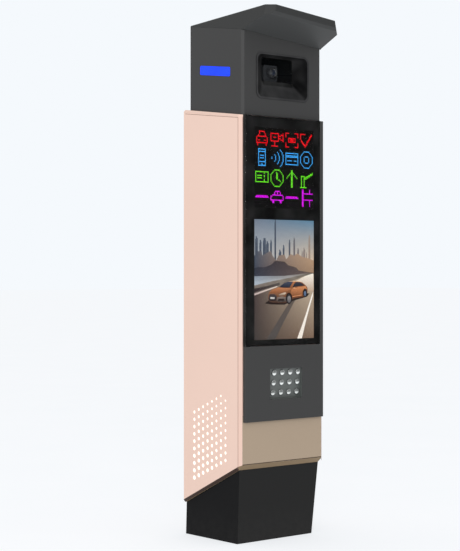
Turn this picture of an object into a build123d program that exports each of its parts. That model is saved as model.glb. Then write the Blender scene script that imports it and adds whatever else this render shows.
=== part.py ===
from build123d import *
from math import cos, pi, radians, sin
import os

# A free-standing parking pay station: a leaning plinth, a sheet steel body, a front with two
# displays and a light, and a camera head under a hood.
# Millimetres. +X is to the right seen from the front, +Y to the rear, +Z up, z = 0 the ground.

# ---- Body shell ----
BODY_HALF = 180.0
BODY_FRONT = -145.0
BODY_REAR = 140.0
SHEET = 2.0
CORNER_CHAMFER = 10.0
REAR_CHAMFER = 2.0
LEG = 20.0
LOW_FRONT = 253.5
LOW_SLOPE = -0.485
TOP_FRONT = 1353.5
TOP_SLOPE = 0.132
CAP_RISE = 8.0
CAP_INSET = 4.0

# ---- Plinth and anchor plate ----
PLINTH_HALF = 160.3
PLINTH_SPREAD = 0.0422
PLINTH_FRONT = -109.2
PLINTH_REAR = 152.0
PLINTH_LEAN = -0.0872
PLINTH_WALL = 3.0
SKIRT_FRONT_Z = 236.5
SKIRT_REAR_Z = 106.0
SKIRT_HALF = PLINTH_HALF + PLINTH_SPREAD * SKIRT_FRONT_Z
SKIRT_FRONT = (PLINTH_FRONT + PLINTH_LEAN * SKIRT_FRONT_Z, SKIRT_FRONT_Z)
SKIRT_REAR = (PLINTH_REAR + PLINTH_LEAN * SKIRT_REAR_Z, SKIRT_REAR_Z)
SKIRT_LEDGE = 8.0
SKIRT_CHAMFER = 1.0
ANCHOR_THICK = 8.0
BOLT_X = 110.0
BOLT_Y = 80.0
BOLT_HOLE_R = 7.0
CABLE_ENTRY_R = 40.0
DECK_HALF = 167.0
DECK_REAR = 105.0
DECK_Z = 262.0
GLAND_R = 11.0

# ---- Side perforation ----
HOLE_COLUMNS = 8
HOLE_ROWS = 10
HOLE_REAR_Y = 84.0
HOLE_PITCH_Y = 22.44
HOLE_LOW_Z = 192.5
HOLE_PITCH_Z = 23.66
HOLE_RISE = 0.45
HOLE_BIG_D = 14.0
HOLE_SMALL_D = 7.0
DIFFUSER_THICK = 4.0

# ---- Front covers and displays ----
PANEL_FRONT = -157.5
PANEL_HALF = 167.3
PANEL_LOW = 387.5
PANEL_TOP = 1353.0
GLASS_RIGHT = 153.0
GLASS_LOW = 625.0
GLASS_THICK = 6.0
RAIL_LIP = 9.0
SCREEN_BACK = BODY_FRONT + 2 * SHEET
LCD_HALF = 140.0
LCD_Z = (634.5, 1039.0)
LED_HALF = 128.0
LED_MIDDLE_Z = 1191.0
STRAP_HALF = 164.0
STRAP_HEIGHTS = (660.0, 1010.0, 1085.0, 1297.0)
LIGHT_X = (-64.0, 74.0)
LIGHT_Z = (455.3, 552.0)
LIGHT_BACK = -138.0
LIGHT_TILT = 6.0
LENS_MIDDLE = (9.0, -146.0, 507.0)
LENS_PITCH = (34.2, 32.1)
LENS_R = 9.8
LENS_RISE = 6.0

# ---- Camera head ----
HEAD_HALF = 170.0
HEAD_FRONT = -145.0
HEAD_REAR = 116.0
HEAD_WALL = 3.0
HEAD_CHAMFER = 8.0
HEAD_TOP_FRONT = 1621.0
HEAD_TOP_REAR = 1661.0
HOOD_FRONT = -256.0
HOOD_TOP_REAR = 1664.0
HOOD_TOP_FRONT = 1693.3
HOOD_LIP_Z = 1672.3
HOOD_LIP_BEVEL = (9.0, 10.0)
HOOD_ROOT_Z = 1623.0
HOOD_CHAMFER = 24.0
HOOD_LEAN = 0.2256
HOOD_FALL = 0.095
HOOD_LEVELS = (1560.0, 1710.0)
NICHE_SIZE = (214.0, 135.5)
NICHE_Z = 1483.75
WINDOW_SIZE = (130.0, 76.0)
WINDOW_Z = 1508.0
WINDOW_Y = -116.0
SIDE_LIGHT_Y = (-84.1, 64.9)
SIDE_LIGHT_Z = (1479.3, 1508.8)
SIDE_LIGHT_RISE = 0.13

# ---- Camera ----
CAMERA_Y = -40.0
CAMERA_Z = 1503.0
SHELF_Z = 1437.0
TRUNNION_R = 4.0
PAN_PIN_R = 5.0
RUNNING_GAP = 0.05

# ---- Rear door, hinges and lock ----
OPENING_HALF = 150.0
SILL_TOP = 175.0
LINTEL_LOW = 1330.0
DOOR_X = (-164.0, 160.0)
DOOR_Z = (160.0, 1345.0)
DOOR_SKIN = (145.0, 147.0)
DOOR_EDGE_Y = 141.0
HINGE_X = 171.0
HINGE_Y = 147.0
HINGE_R = 6.0
HINGE_PIN_R = 3.0
HINGE_HEIGHTS = (260.0, 750.0, 1240.0)
KNUCKLE = 20.0
LOCK_X = -118.0
LOCK_Z = 760.0
LOCK_BARREL_R = 9.0
CRANK_R = 16.0
CRANK_PIN_R = 2.5
ROD_Y = (123.0, 127.0)
ROD_HALF = 6.0
ROD_OFFSET = 13.6
ROD_TOP = 1315.0
ROD_FOOT = 190.0

# ---- Equipment ----
PLATE_Y = 30.0
PLATE_Z = (470.0, 1150.0)
FAN_X = 10.0
FAN_Z = 1180.0
FAN_SIZE = 120.0
FAN_DEPTH = 25.0
FAN_BORE_R = 56.5
FAN_BLADE_R = 54.0
FAN_HUB_R = 20.0
FAN_BLADES = 7
BREAKER_X = -42.0
BREAKER_Z = 739.0
BREAKER_HALF = 18.0


# ---- Shape helpers ----
def slab(x, y, z):
    """A box from three (low, high) pairs."""
    middle = [(low + high) / 2 for low, high in (x, y, z)]
    size = [high - low for low, high in (x, y, z)]
    return Pos(*middle) * Box(*size)


def across(outline, x_low, x_high):
    """A (y, z) outline extruded along X."""
    face = make_face(Polyline([(x_low, y, z) for y, z in outline], close=True))
    return extrude(face, amount=x_high - x_low, dir=(1, 0, 0))


def upwards(outline, z_low, z_high):
    """An (x, y) outline extruded along Z."""
    face = make_face(Polyline([(x, y, z_low) for x, y in outline], close=True))
    return extrude(face, amount=z_high - z_low, dir=(0, 0, 1))


def rod(radius, start, end):
    """A round bar between two points that differ along one axis."""
    axis = Vector(*end) - Vector(*start)
    return extrude(Plane(origin=start, z_dir=axis) * Circle(radius), amount=axis.length)


def both_sides(shape):
    """The shape and its mirror image across the middle, as two solids."""
    return [shape, mirror(shape, about=Plane.YZ)]


def ring(half, front, rear, chamfer, height):
    """A six-cornered outline, chamfered at the front, at a height that depends on y."""
    plan = [(chamfer - half, front), (half - chamfer, front), (half, front + chamfer),
            (half, rear), (-half, rear), (-half, front + chamfer)]
    return [(x, y, height(y)) for x, y in plan]


def frustum(low_ring, high_ring):
    """A solid between two outlines with the same number of corners."""
    faces = [make_face(Polyline(corners, close=True)) for corners in (low_ring, high_ring)]
    return loft(faces, ruled=True)


def rounded_section(size, corner, y, z):
    """A rounded rectangle standing upright at y, centred at height z."""
    return Plane(origin=(0, y, z), x_dir=(1, 0, 0), z_dir=(0, 1, 0)) * RectangleRounded(*size, corner)


def low_edge(y):
    """Height of the body's sloping lower edge."""
    return LOW_FRONT + LOW_SLOPE * (y - BODY_FRONT)


def top_edge(y):
    """Height of the body's sloping top."""
    return TOP_FRONT + TOP_SLOPE * (y - BODY_FRONT)


def skirt_edge(y):
    """Height of the sloping plane where the skirt meets the plinth."""
    slope = (SKIRT_REAR[1] - SKIRT_FRONT[1]) / (SKIRT_REAR[0] - SKIRT_FRONT[0])
    return SKIRT_FRONT[1] + slope * (y - SKIRT_FRONT[0])


def head_top(y):
    """Height of the head's sloping top edge."""
    slope = (HEAD_TOP_REAR - HEAD_TOP_FRONT) / (HEAD_REAR - HEAD_FRONT)
    return HEAD_TOP_FRONT + slope * (y - HEAD_FRONT)


def hood_top(y):
    """Height of the hood's top."""
    slope = (HOOD_TOP_REAR - HOOD_TOP_FRONT) / (HEAD_REAR - HOOD_FRONT)
    return HOOD_TOP_FRONT + slope * (y - HOOD_FRONT)


def head_drop(x):
    """How far the head's top and hood have fallen at x, from the left side to the right."""
    return HOOD_FALL * (x + HEAD_HALF)


def falling(outline, x_low, x_high):
    """A (y, z) outline of the head's left side, carried along X and down with the head's fall."""
    face = make_face(Polyline([(x_low, y, z - head_drop(x_low)) for y, z in outline], close=True))
    run = Vector(x_high - x_low, 0, head_drop(x_low) - head_drop(x_high))
    return extrude(face, amount=run.length, dir=run.normalized())


def body_envelope():
    """Everything between the body's sloping lower edge and the foot of its cap."""
    outline = [(BODY_FRONT, low_edge(BODY_FRONT)), (BODY_REAR, low_edge(BODY_REAR)),
               (BODY_REAR, cap_foot(BODY_REAR)), (BODY_FRONT, cap_foot(BODY_FRONT))]
    return across(outline, -BODY_HALF, BODY_HALF)


# ---- Foot ----
def plinth_form(inset):
    """The plinth's leaning, tapering form with a flat top, made smaller by inset on each side."""
    high = SKIRT_FRONT_Z + 20
    lean = PLINTH_LEAN * high
    front, rear = PLINTH_FRONT + inset, PLINTH_REAR - inset
    profile = [(front, 0), (rear, 0), (rear + lean, high), (front + lean, high)]
    foot = PLINTH_HALF - inset
    head = foot + PLINTH_SPREAD * high
    section = [(-foot, 0), (foot, 0), (head, high), (-head, high)]
    face = make_face(Polyline([(x, PLINTH_FRONT + lean, z) for x, z in section], close=True))
    depth = PLINTH_REAR - PLINTH_FRONT - lean
    return across(profile, -head, head) & extrude(face, amount=depth, dir=(0, 1, 0))


def plinth():
    """Four leaning walls, open at the ground and at the skirt."""
    behind = SKIRT_REAR[0] + 20
    below_skirt = across([SKIRT_FRONT, SKIRT_REAR, (behind, SKIRT_REAR_Z), (behind, 0),
                          (SKIRT_FRONT[0], 0)], -BODY_HALF, BODY_HALF)
    return (plinth_form(0) - plinth_form(PLINTH_WALL)) & below_skirt


def anchor_plate():
    """The plate inside the plinth that bolts to the ground."""
    half = PLINTH_HALF - PLINTH_WALL
    ends = (PLINTH_FRONT + PLINTH_WALL + 1, PLINTH_REAR - PLINTH_WALL - 1)
    plate = slab((-half, half), ends, (0, ANCHOR_THICK))
    for x in (-BOLT_X, BOLT_X):
        for y in (-BOLT_Y, BOLT_Y):
            plate -= rod(BOLT_HOLE_R, (x, y, 0), (x, y, ANCHOR_THICK))
    return plate - rod(CABLE_ENTRY_R, (0, 0, 0), (0, 0, ANCHOR_THICK))


def skirt_trim():
    """The bevelled ring between the body and the plinth."""
    wall = PLINTH_WALL
    inner_chamfer = CORNER_CHAMFER - wall * (2 - 2 ** 0.5)
    outer = (ring(SKIRT_HALF, SKIRT_FRONT[0], SKIRT_REAR[0], SKIRT_CHAMFER, skirt_edge),
             ring(BODY_HALF, BODY_FRONT, BODY_REAR, CORNER_CHAMFER, low_edge))
    inner = (ring(SKIRT_HALF - SKIRT_LEDGE, SKIRT_FRONT[0] + wall, SKIRT_REAR[0] - wall, SKIRT_CHAMFER,
                  skirt_edge),
             ring(BODY_HALF - wall, BODY_FRONT + wall, BODY_REAR - wall, inner_chamfer, low_edge))
    return frustum(*outer) - frustum(*inner)


def base_deck():
    """The shelf that closes the body's foot, with four gland holes."""
    deck = slab((-DECK_HALF, DECK_HALF), (BODY_FRONT + 2 * SHEET, DECK_REAR), (DECK_Z, DECK_Z + SHEET))
    for x, y in gland_places():
        deck -= rod(GLAND_R, (x, y, DECK_Z), (x, y, DECK_Z + SHEET))
    return deck


def gland_places():
    """Where the cable glands go through the deck."""
    return [(x, 30.0) for x in (-60.0, -20.0, 20.0, 60.0)]


def cable_glands():
    """Four cable glands, each a sleeve with a lock nut and a dome nut."""
    glands = []
    for x, y in gland_places():
        sleeve = rod(GLAND_R, (x, y, DECK_Z - 10), (x, y, DECK_Z + 14))
        nut = Pos(x, y, DECK_Z - 3) * extrude(RegularPolygon(15, 6), amount=3, both=True)
        cap = Pos(x, y, DECK_Z + SHEET + 6) * extrude(RegularPolygon(15, 6), amount=6, both=True)
        collar = slab((x - 16, x + 16), (y - 16, y + 16), (DECK_Z, DECK_Z + SHEET))
        bore = rod(7, (x, y, DECK_Z - 10), (x, y, DECK_Z + 14))
        deck = collar - rod(GLAND_R, (x, y, DECK_Z), (x, y, DECK_Z + 3))
        glands.append((sleeve + nut + cap) - deck - bore)
    return glands


def earth_stud():
    """A threaded earth stud with two nuts."""
    x, y, z = 120.0, 60.0, DECK_Z + SHEET
    nut = extrude(RegularPolygon(8, 6), amount=6)
    return rod(4, (x, y, z), (x, y, z + 26)) + Pos(x, y, z) * nut + Pos(x, y, z + 12) * nut


# ---- Body ----
def corner_post():
    """The right front corner: a chamfered strip with a leg behind each panel."""
    x, y = BODY_HALF, BODY_FRONT
    fold = CORNER_CHAMFER + SHEET * (2 ** 0.5 - 1)
    end = CORNER_CHAMFER + LEG
    outline = [(x, y + CORNER_CHAMFER), (x - CORNER_CHAMFER, y), (x - CORNER_CHAMFER, y + SHEET),
               (x - end, y + SHEET), (x - end, y + 2 * SHEET), (x - fold, y + 2 * SHEET),
               (x - 2 * SHEET, y + fold), (x - 2 * SHEET, y + end), (x - SHEET, y + end),
               (x - SHEET, y + CORNER_CHAMFER)]
    return upwards(outline, 0, 1400) & body_envelope()


def rear_post():
    """The right rear corner: a leg inside the side panel and a flange round the door opening."""
    x, y = BODY_HALF, BODY_REAR
    inner = REAR_CHAMFER + SHEET
    outline = [(x, y - REAR_CHAMFER), (x - REAR_CHAMFER, y), (OPENING_HALF, y), (OPENING_HALF, y - SHEET),
               (x - inner, y - SHEET), (x - 2 * SHEET, y - inner - LEG), (x - SHEET, y - inner - LEG),
               (x - SHEET, y - REAR_CHAMFER)]
    return upwards(outline, 0, 1400) & body_envelope()


def hole_field():
    """Round bars for one side's perforation: big at the low rear, small at the high front."""
    bars = []
    for column in range(HOLE_COLUMNS):
        for row in range(HOLE_ROWS):
            top_front_corner = column == HOLE_COLUMNS - 1 and row == HOLE_ROWS - 1
            if top_front_corner:
                continue
            y = HOLE_REAR_Y - HOLE_PITCH_Y * column
            z = HOLE_LOW_Z + HOLE_PITCH_Z * row + HOLE_RISE * (HOLE_REAR_Y - y)
            share = (column / (HOLE_COLUMNS - 1) + row / (HOLE_ROWS - 1)) / 2
            radius = (HOLE_BIG_D + (HOLE_SMALL_D - HOLE_BIG_D) * share) / 2
            bars.append(rod(radius, (BODY_HALF - SHEET, y, z), (BODY_HALF, y, z)))
    return bars


def side_panel():
    """The right side sheet with its perforation."""
    length = (BODY_FRONT + CORNER_CHAMFER, BODY_REAR - REAR_CHAMFER)
    sheet = slab((BODY_HALF - SHEET, BODY_HALF), length, (0, 1400))
    return (sheet & body_envelope()) - hole_field()


def vent_diffuser():
    """The lit sheet behind the right perforation, level with its rows."""
    margin = 14.0
    rear = HOLE_REAR_Y + margin
    front = HOLE_REAR_Y - HOLE_PITCH_Y * (HOLE_COLUMNS - 1) - margin
    low = HOLE_LOW_Z - margin - 6
    high = HOLE_LOW_Z + HOLE_PITCH_Z * (HOLE_ROWS - 1) + margin
    rise = HOLE_RISE * (rear - front)
    outline = [(rear, low), (rear, high), (front, high + rise), (front, low + rise)]
    return across(outline, BODY_HALF - SHEET - DIFFUSER_THICK, BODY_HALF - SHEET)


def lower_front_panel():
    """The body's front below and behind the front cover."""
    half = BODY_HALF - CORNER_CHAMFER
    return slab((-half, half), (BODY_FRONT, BODY_FRONT + SHEET), (LOW_FRONT, PANEL_LOW + LEG))


def rear_lintel():
    """The bar over the door opening."""
    bar = slab((-OPENING_HALF, OPENING_HALF), (BODY_REAR - SHEET, BODY_REAR), (LINTEL_LOW, 1400))
    return bar & body_envelope()


def rear_sill():
    """The bar under the door opening."""
    bar = slab((-OPENING_HALF, OPENING_HALF), (BODY_REAR - SHEET, BODY_REAR), (0, SILL_TOP))
    return bar & body_envelope()


def cap_foot(y):
    """Height of the sloping plane where the cap meets the body."""
    return top_edge(y) - CAP_RISE


def cap_ceiling(y):
    """Height of the inside of the cap's top."""
    return top_edge(y) - SHEET


def top_cap():
    """The bevelled cap over the body, open below, with a cable hole up to the head."""
    front, half, rear = BODY_FRONT, BODY_HALF - CAP_INSET, BODY_REAR - CAP_INSET
    inside = CORNER_CHAMFER - SHEET * (2 - 2 ** 0.5)
    outer = (ring(BODY_HALF, front, BODY_REAR, CORNER_CHAMFER, cap_foot),
             ring(half, front, rear, CORNER_CHAMFER, top_edge))
    inner = (ring(BODY_HALF - SHEET, front + SHEET, BODY_REAR - SHEET, inside, cap_foot),
             ring(half - SHEET, front + SHEET, rear - SHEET, inside, cap_ceiling))
    cable_hole = slab((-80, 80), (-90, 30), (1300, 1450))
    return frustum(*outer) - frustum(*inner) - cable_hole


# ---- Front ----
def front_cover():
    """The lower front cover, a shallow pan with a cut-out for the light."""
    pan = slab((-PANEL_HALF, PANEL_HALF), (PANEL_FRONT, BODY_FRONT), (PANEL_LOW, GLASS_LOW))
    hollow = slab((SHEET - PANEL_HALF, PANEL_HALF - SHEET), (PANEL_FRONT + SHEET, BODY_FRONT),
                  (PANEL_LOW + SHEET, GLASS_LOW - SHEET))
    return pan - hollow - slab(LIGHT_X, (PANEL_FRONT, PANEL_FRONT + SHEET), LIGHT_Z)


def light_plane():
    """The tilted plane that the light's lenses stand on, facing forwards and a little down."""
    tilt = radians(LIGHT_TILT)
    return Plane(origin=LENS_MIDDLE, x_dir=(1, 0, 0), z_dir=(0, -cos(tilt), -sin(tilt)))


def fill_light_tray():
    """The recessed tray of the light."""
    flange = 2.0
    block = slab((LIGHT_X[0] - flange, LIGHT_X[1] + flange), (PANEL_FRONT + SHEET, LIGHT_BACK),
                 (LIGHT_Z[0] - flange, LIGHT_Z[1] + flange))
    room = slab(LIGHT_X, (PANEL_FRONT, LIGHT_BACK), LIGHT_Z)
    in_front = light_plane() * Pos(0, 0, 50) * Box(200, 200, 100)
    return block - (room & in_front)


def fill_light_lenses():
    """Twelve round lens domes, four wide and three high."""
    ball = (LENS_R ** 2 + LENS_RISE ** 2) / (2 * LENS_RISE)
    above = Pos(0, 0, ball) * Box(4 * ball, 4 * ball, 2 * ball)
    dome = (Pos(0, 0, LENS_RISE - ball) * Sphere(ball)) & above
    return [light_plane() * Pos(LENS_PITCH[0] * (column - 1.5), LENS_PITCH[1] * (row - 1), 0) * dome
            for column in range(4) for row in range(3)]


def fill_light_board():
    """The light's circuit board, behind its tray."""
    return slab(LIGHT_X, (LIGHT_BACK, LIGHT_BACK + 1.6), LIGHT_Z)


def display_rails():
    """The strips at the glass's edges: the left one behind it, the right one beside it as well."""
    glass_back = PANEL_FRONT + GLASS_THICK
    lip = GLASS_RIGHT - RAIL_LIP
    outline = [(PANEL_HALF, PANEL_FRONT), (GLASS_RIGHT, PANEL_FRONT), (GLASS_RIGHT, glass_back),
               (lip, glass_back), (lip, BODY_FRONT), (PANEL_HALF, BODY_FRONT)]
    left = slab((-PANEL_HALF, -lip), (glass_back, BODY_FRONT), (GLASS_LOW, PANEL_TOP))
    return [upwards(outline, GLASS_LOW, PANEL_TOP), left]


def display_glass():
    """The black glass over both displays."""
    return slab((-PANEL_HALF, GLASS_RIGHT), (PANEL_FRONT, PANEL_FRONT + GLASS_THICK), (GLASS_LOW, PANEL_TOP))


def led_modules():
    """Two square-dot light matrix modules, one above the other."""
    depth = (PANEL_FRONT + GLASS_THICK + 0.5, SCREEN_BACK)
    lows = (LED_MIDDLE_Z + 0.1, LED_MIDDLE_Z + 0.1 - LED_HALF)
    return [slab((-LED_HALF, LED_HALF), depth, (low, low + LED_HALF - 0.2)) for low in lows]


def lcd_panel():
    """The portrait picture display."""
    return slab((-LCD_HALF, LCD_HALF), (PANEL_FRONT + GLASS_THICK + 0.5, SCREEN_BACK), LCD_Z)


def display_straps():
    """Four straps that hold the displays to the corner posts."""
    return [slab((-STRAP_HALF, STRAP_HALF), (SCREEN_BACK, SCREEN_BACK + 3), (z - 10, z + 10))
            for z in STRAP_HEIGHTS]


def speaker():
    """A round loudspeaker behind the lower front panel."""
    y = BODY_FRONT + SHEET
    z = 322.0
    basket = Pos(0, y + 15, z) * Rot(90, 0, 0) * Cone(38, 22, 24)
    return rod(40, (0, y, z), (0, y + 3, z)) + basket + rod(24, (0, y + 27, z), (0, y + 40, z))


# ---- Camera head ----
def head_envelope():
    """Everything between the body's top and the head's sloping, falling top edge."""
    beyond = HEAD_TOP_REAR + 50
    above_body = across([(HEAD_FRONT, top_edge(HEAD_FRONT)), (HEAD_REAR, top_edge(HEAD_REAR)),
                         (HEAD_REAR, beyond), (HEAD_FRONT, beyond)], -HEAD_HALF, HEAD_HALF)
    below_top = falling([(HEAD_FRONT, 1300), (HEAD_REAR, 1300), (HEAD_REAR, HEAD_TOP_REAR),
                         (HEAD_FRONT, HEAD_TOP_FRONT)], -HEAD_HALF, HEAD_HALF)
    return above_body & below_top


def head_outline(inset, rear):
    """The head's plan with chamfered front corners, made smaller by inset."""
    half = HEAD_HALF - inset
    front = HEAD_FRONT + inset
    chamfer = HEAD_CHAMFER - inset * (2 - 2 ** 0.5)
    return [(-half, rear), (-half, front + chamfer), (chamfer - half, front), (half - chamfer, front),
            (half, front + chamfer), (half, rear)]


def side_light_face(x, shrink):
    """The rounded, slanting face of a side light."""
    low_y, high_y = SIDE_LIGHT_Y
    low_z, high_z = SIDE_LIGHT_Z
    rise = SIDE_LIGHT_RISE * (high_y - low_y)
    corners = [(low_y + shrink, low_z + shrink), (high_y - shrink, low_z + rise + shrink),
               (high_y - shrink, high_z + rise - shrink), (low_y + shrink, high_z - shrink)]
    face = make_face(Polyline([(x, y, z) for y, z in corners], close=True))
    return fillet(face.vertices(), 5.0)


def side_light():
    """The right side light's diffuser, a little proud of the head."""
    return extrude(side_light_face(HEAD_HALF - HEAD_WALL - 1, 0), amount=HEAD_WALL + 1.6, dir=(1, 0, 0))


def side_light_board():
    """The light strip behind the right side light."""
    return extrude(side_light_face(HEAD_HALF - HEAD_WALL - 5, 3), amount=1.6, dir=(1, 0, 0))


def head_housing():
    """The folded front and sides of the head."""
    rear = HEAD_REAR - HEAD_WALL
    walls = upwards(head_outline(0, rear), 1300, 1700)
    walls -= upwards(head_outline(HEAD_WALL, rear + 1), 1300, 1700)
    width, height = NICHE_SIZE
    window = extrude(rounded_section((width + 4.6, height + 4.6), 20.3, HEAD_FRONT - 1, NICHE_Z), amount=5)
    slots = both_sides(extrude(side_light_face(HEAD_HALF - HEAD_WALL - 1, 0), amount=6, dir=(1, 0, 0)))
    return (walls & head_envelope()) - window - slots


def head_rear_cover():
    """The plate that closes the head's back."""
    depth = (HEAD_REAR - HEAD_WALL, HEAD_REAR)
    plate = slab((-HEAD_HALF, HEAD_HALF), depth, (1300, 1700)) & head_envelope()
    return plate - [slab((-60, 60), depth, (z, z + 5)) for z in range(1550, 1611, 12)]


def head_cover_screws():
    """Four domed screws in the head's rear cover."""
    dome = (Pos(0, 0, -2) * Sphere(6)) & (Pos(0, 0, 5) * Box(20, 20, 10))
    socket = extrude(RegularPolygon(2.2, 6), amount=6)
    screw = dome - Pos(0, 0, 2) * socket
    places = [(x, z) for x in (-152, 152) for z in (1405, HEAD_TOP_REAR - 20 - head_drop(x))]
    return [Plane(origin=(x, HEAD_REAR, z), z_dir=(0, 1, 0)) * screw for x, z in places]


def hood_half(y, z, side):
    """Half width of the hood on one side: it rises from the head's top edge and leans inwards."""
    return HEAD_HALF - HOOD_LEAN * (z - head_top(y) + head_drop(side * HEAD_HALF))


def hood_block(inset):
    """The hood's form above and in front of the head, made smaller by inset on its sides."""
    faces = []
    for z in HOOD_LEVELS:
        outline = []
        for side in (1, -1):
            ends = (HEAD_REAR - inset, HOOD_FRONT + HOOD_CHAMFER)
            edge = [(hood_half(y, z, side) - inset, y) for y in ends]
            nose = hood_half(HOOD_FRONT, z, side) - HOOD_CHAMFER - inset * 0.6
            edge.append((nose, HOOD_FRONT + inset))
            outline += [(side * x, y, z) for x, y in edge[::side]]
        faces.append(make_face(Polyline(outline, close=True)))
    return loft(faces, ruled=True)


def hood():
    """The hood over the head, jutting out over the camera, with a sloping underside."""
    wall = HEAD_WALL
    bevel_y, bevel_z = HOOD_LIP_BEVEL
    far = HEAD_HALF + 30
    profile = [(HEAD_REAR, HEAD_TOP_REAR), (HEAD_REAR, HOOD_TOP_REAR), (HOOD_FRONT, HOOD_TOP_FRONT),
               (HOOD_FRONT, HOOD_LIP_Z), (HOOD_FRONT + bevel_y, HOOD_LIP_Z - bevel_z),
               (HEAD_FRONT, HOOD_ROOT_Z), (HEAD_FRONT, HEAD_TOP_FRONT)]
    rear = HEAD_REAR - wall
    front = HOOD_FRONT + wall
    inner = [(rear, head_top(rear) - 30), (rear, hood_top(rear) - wall), (front, hood_top(front) - wall),
             (front, HOOD_LIP_Z + 1), (front + bevel_y, HOOD_LIP_Z - bevel_z + wall + 1),
             (HEAD_FRONT, HOOD_ROOT_Z + wall), (HEAD_FRONT + wall, HOOD_ROOT_Z - 10)]
    shell = hood_block(0) & falling(profile, -far, far)
    return shell - (hood_block(wall) & falling(inner, -far, far))


def camera_bezel():
    """The niche in front of the camera: a flange, and splayed walls down to the window."""
    width, height = NICHE_SIZE
    flange = extrude(rounded_section((width + 12, height + 12), 22, HEAD_FRONT - 2, NICHE_Z), amount=2)
    outer = loft([rounded_section((width + 4, height + 4), 20, HEAD_FRONT, NICHE_Z),
                  rounded_section((WINDOW_SIZE[0] + 5, WINDOW_SIZE[1] + 5), 8.5, WINDOW_Y, WINDOW_Z)])
    inner = loft([rounded_section(NICHE_SIZE, 18, HEAD_FRONT - 2, NICHE_Z),
                  rounded_section(WINDOW_SIZE, 6, WINDOW_Y, WINDOW_Z)])
    return flange + outer - inner


def camera_window():
    """The dark glass at the back of the niche."""
    return extrude(rounded_section((WINDOW_SIZE[0] + 4, WINDOW_SIZE[1] + 4), 8, WINDOW_Y, WINDOW_Z), amount=4)


def camera_shelf():
    """The shelf across the head that carries the camera."""
    shelf = slab((HEAD_WALL - HEAD_HALF, HEAD_HALF - HEAD_WALL), (-70, 10), (SHELF_Z, SHELF_Z + 3))
    return shelf - rod(PAN_PIN_R, (0, CAMERA_Y, SHELF_Z), (0, CAMERA_Y, SHELF_Z + 3))


def camera_yoke():
    """The camera's fork, turning on a pin through the shelf."""
    top = SHELF_Z + 3
    base = slab((-40, 40), (-60, -20), (top + 0.5, top + 4.5))
    arms = both_sides(slab((34, 38), (-52, -28), (top + 4.5, CAMERA_Z + 12)))
    pin = rod(PAN_PIN_R - RUNNING_GAP, (0, CAMERA_Y, SHELF_Z - 7), (0, CAMERA_Y, top + 0.5))
    collar = rod(9, (0, CAMERA_Y, SHELF_Z - 7), (0, CAMERA_Y, SHELF_Z - 0.5))
    return base + arms + pin + collar - rod(TRUNNION_R, (-40, CAMERA_Y, CAMERA_Z), (40, CAMERA_Y, CAMERA_Z))


def camera_body():
    """The camera's case with its two trunnions."""
    case = slab((-30, 30), (-85, 20), (CAMERA_Z - 26, CAMERA_Z + 26))
    case = fillet(case.edges().filter_by(Axis.Y), 5)
    pins = [rod(TRUNNION_R - RUNNING_GAP, (side * 30, CAMERA_Y, CAMERA_Z), (side * 39.5, CAMERA_Y, CAMERA_Z))
            for side in (-1, 1)]
    return case + pins


def camera_lens():
    """The lens barrel with its front ring and domed glass."""
    barrel = rod(15, (0, -103, CAMERA_Z), (0, -85, CAMERA_Z))
    barrel += rod(17, (0, -97, CAMERA_Z), (0, -89, CAMERA_Z))
    mouth = rod(11, (0, -103, CAMERA_Z), (0, -98, CAMERA_Z))
    return barrel - mouth + Pos(0, -95, CAMERA_Z) * Sphere(9.9)


# ---- Rear door ----
def rear_door():
    """The door: a shallow pan with vent slots and the lock's hole."""
    low_z, high_z = DOOR_Z
    pan = slab(DOOR_X, (DOOR_EDGE_Y, DOOR_SKIN[1]), DOOR_Z)
    hollow = slab((DOOR_X[0] + SHEET, DOOR_X[1] - SHEET), (DOOR_EDGE_Y, DOOR_SKIN[0]),
                  (low_z + SHEET, high_z - SHEET))
    vents = [slab((FAN_X - 48, FAN_X + 48), DOOR_SKIN, (z, z + 5)) for z in range(1136, 1226, 12)]
    vents += [slab((FAN_X - 60, FAN_X + 60), DOOR_SKIN, (z, z + 5)) for z in range(330, 420, 12)]
    lock_hole = rod(LOCK_BARREL_R + 1, (LOCK_X, DOOR_EDGE_Y, LOCK_Z), (LOCK_X, DOOR_SKIN[1], LOCK_Z))
    return pan - hollow - vents - lock_hole


def door_gasket():
    """Four rubber strips inside the door's rim."""
    x_low, x_high = DOOR_X[0] + 3, DOOR_X[1] - 3
    z_low, z_high = DOOR_Z[0] + 3, DOOR_Z[1] - 3
    y = (BODY_REAR + 0.3, DOOR_SKIN[0])
    wide = 8.0
    uprights = [slab((x, x + wide), y, (z_low, z_high)) for x in (x_low, x_high - wide)]
    rails = [slab((x_low + wide, x_high - wide), y, (z, z + wide)) for z in (z_low, z_high - wide)]
    return uprights + rails


def hinge_frame_leaves():
    """The fixed half of each hinge, on the rear post."""
    leaves = []
    for z in HINGE_HEIGHTS:
        knuckle = rod(HINGE_R, (HINGE_X, HINGE_Y, z - KNUCKLE), (HINGE_X, HINGE_Y, z - 0.2))
        block = slab((HINGE_X - 5, HINGE_X + 4), (BODY_REAR, HINGE_Y), (z - KNUCKLE, z - 0.2))
        hole = rod(HINGE_PIN_R, (HINGE_X, HINGE_Y, z - KNUCKLE), (HINGE_X, HINGE_Y, z))
        leaves.append(knuckle + block - hole)
    return leaves


def hinge_door_leaves():
    """The moving half of each hinge, on the door's skin."""
    leaves = []
    for z in HINGE_HEIGHTS:
        knuckle = rod(HINGE_R, (HINGE_X, HINGE_Y, z + 0.2), (HINGE_X, HINGE_Y, z + KNUCKLE))
        leaf = slab((HINGE_X - 38, HINGE_X), (DOOR_SKIN[1], DOOR_SKIN[1] + 3), (z + 0.2, z + KNUCKLE))
        hole = rod(HINGE_PIN_R + RUNNING_GAP, (HINGE_X, HINGE_Y, z), (HINGE_X, HINGE_Y, z + KNUCKLE + 1))
        leaves.append(knuckle + leaf - hole)
    return leaves


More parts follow.
